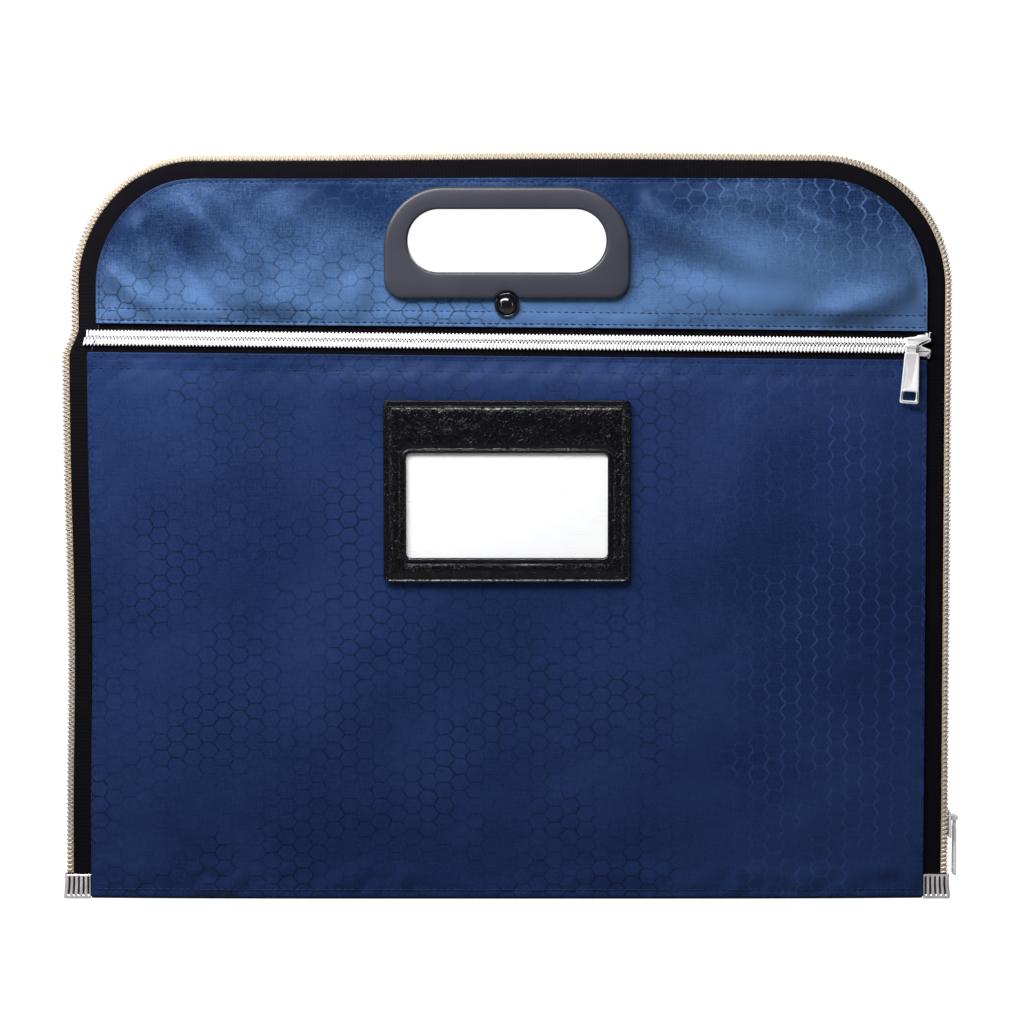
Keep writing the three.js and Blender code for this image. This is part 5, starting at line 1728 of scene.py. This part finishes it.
rim_length = LINE_LENGTH - 8.0           # the row stops 4 mm from both ends of the zip
rim_s = np.linspace(0, rim_length, int(rim_length / STITCH_PITCH)) + 4.0
for name, body_name, side in (("front", "front_leaf", -1), ("back", "root", 1)):
    seam = on_line(rim_s, HALF - CLOTH_HALF + RIM_STITCH, EDGE_DEPTH - 0.12, side)
    row = stitch_row(relax(seam), -side * FRONT)
    add_piece(f"rim_stitches_{name}", row, body_name, NAVY_THREAD)

foot_x = np.linspace(-CLOTH_HALF + 2.0, CLOTH_HALF - 2.0, stitch_count)
foot_z = np.full_like(foot_x, FOLD_LINE + FOOT_STITCH)
foot_depths = {-1: pocket_depth(foot_x, foot_z),
               1: plain_depth(foot_x, foot_z) + foot_shape(foot_x, foot_z)}
for name, body_name, side in (("front", None, -1), ("back", "root", 1)):
    seam = relax(np.stack([foot_x, side * (foot_depths[side] + 0.05), foot_z], -1))
    row = stitch_row(seam, -side * FRONT)
    piece = add_piece(f"foot_stitches_{name}", row, body_name, NAVY_THREAD)
    if side < 0:
        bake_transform(piece)


# %% [markdown]
# ## Floor, light and camera
# The bag stands on a plain white floor that curves up into a backdrop. A soft light close above the
# front brings out the folds and fades towards the bottom. A second one fills in from the left, two
# strips draw highlights along upright edges, and one more lights the back. Floor and world shine white
# only for the camera, so that they don't wash out the dark cloth. The camera looks at the front from a
# little above.

# %% Floor and backdrop
def cyclorama():
    """A floor that curves up into a wall: straight, quarter circle, straight, carried along X."""
    turn = np.linspace(0, math.pi / 2, 16)
    y = np.concatenate([[-3.0, -1.0, 0.0, 0.8], 1.2 + 0.8 * np.sin(turn), [2.0]])
    z = np.concatenate([[0.0] * 4, 0.8 * (1 - np.cos(turn)), [3.5]]) - 0.0001
    x = np.linspace(-4, 4, 9)
    grid = np.stack(np.broadcast_arrays(x[None, :], y[:, None], z[:, None]), -1)
    mesh = bpy.data.meshes.new("studio_floor")
    mesh.from_pydata(grid.reshape(-1, 3).tolist(), [], grid_quads(*grid.shape[:2])[0].tolist())
    mesh.shade_smooth()
    return mesh


floor_material, floor_tree, floor_shader = start_material("StudioWhite", {
    "Roughness": 0.8, "Specular IOR Level": 0.1, "Emission Color": (1.0, 1.0, 1.0, 1.0)})
floor_grain = noise(floor_tree, object_place(floor_tree), 3.0, 2.0)
floor_color = blend_colors(floor_tree, floor_grain, (0.3, 0.3, 0.3, 1), (0.34, 0.34, 0.34, 1))
floor_tree.links.new(floor_color, floor_shader.inputs["Base Color"])
seen = new_node(floor_tree, "ShaderNodeLightPath").outputs["Is Camera Ray"]
glow = between(floor_tree, seen, 0.0, 1.0, 0.02, 0.98)
floor_tree.links.new(glow, floor_shader.inputs["Emission Strength"])
floor = bpy.data.objects.new("studio_floor", cyclorama())
floor.data.materials.append(floor_material)
bpy.context.scene.collection.objects.link(floor)


# %% Lights, world and camera
def soft_light(name, place, aim, size, power):
    """An area light that looks from one place to another."""
    data = bpy.data.lights.new(name, "AREA")
    data.shape, data.size, data.size_y = "RECTANGLE", *size
    data.energy = power
    light = bpy.data.objects.new(name, data)
    light.location = place
    light.rotation_euler = (Vector(aim) - Vector(place)).to_track_quat("-Z", "Y").to_euler()
    bpy.context.scene.collection.objects.link(light)
    return light


soft_light("top_softbox", (-0.19, -0.3, 0.57), (-0.04, 0.0, 0.25), (0.6, 0.14), 5.6)
soft_light("left_softbox", (-0.75, -0.6, 0.75), (-0.08, 0, 0.24), (0.3, 0.4), 2.9)
soft_light("left_strip", (-1.0, -1.2, 0.32), (-0.05, 0, 0.2), (0.1, 0.7), 0.8)
soft_light("right_strip", (1.0, -1.2, 0.32), (0.05, 0, 0.2), (0.1, 0.7), 1.2)
soft_light("back_softbox", (0.4, 0.8, 0.7), (0.0, 0, 0.16), (0.7, 0.4), 9.0)

world = bpy.data.worlds.new("Studio")
world.use_nodes = True
sky = world.node_tree
sky_seen = new_node(sky, "ShaderNodeLightPath").outputs["Is Camera Ray"]
sky.links.new(between(sky, sky_seen, 0.0, 1.0, 0.035, 1.0), sky.nodes["Background"].inputs["Strength"])
sky.nodes["Background"].inputs["Color"].default_value = (1.0, 1.0, 1.0, 1)
bpy.context.scene.world = world
bpy.context.scene.view_settings.view_transform = "Standard"

CAMERA_RISE = math.radians(4.0)
CAMERA_AWAY = 1.6065                     # metres
target = Vector((0.00126, 0.0, 0.1642))
camera_data = bpy.data.cameras.new("front_camera")
camera_data.lens, camera_data.sensor_width = 135.0, 36.0
camera_data.clip_start, camera_data.clip_end = 0.05, 50.0
camera = bpy.data.objects.new("front_camera", camera_data)
camera.location = target + CAMERA_AWAY * Vector((0, -math.cos(CAMERA_RISE), math.sin(CAMERA_RISE)))
camera.rotation_euler = (target - camera.location).to_track_quat("-Z", "Y").to_euler()
bpy.context.scene.collection.objects.link(camera)
bpy.context.scene.camera = camera
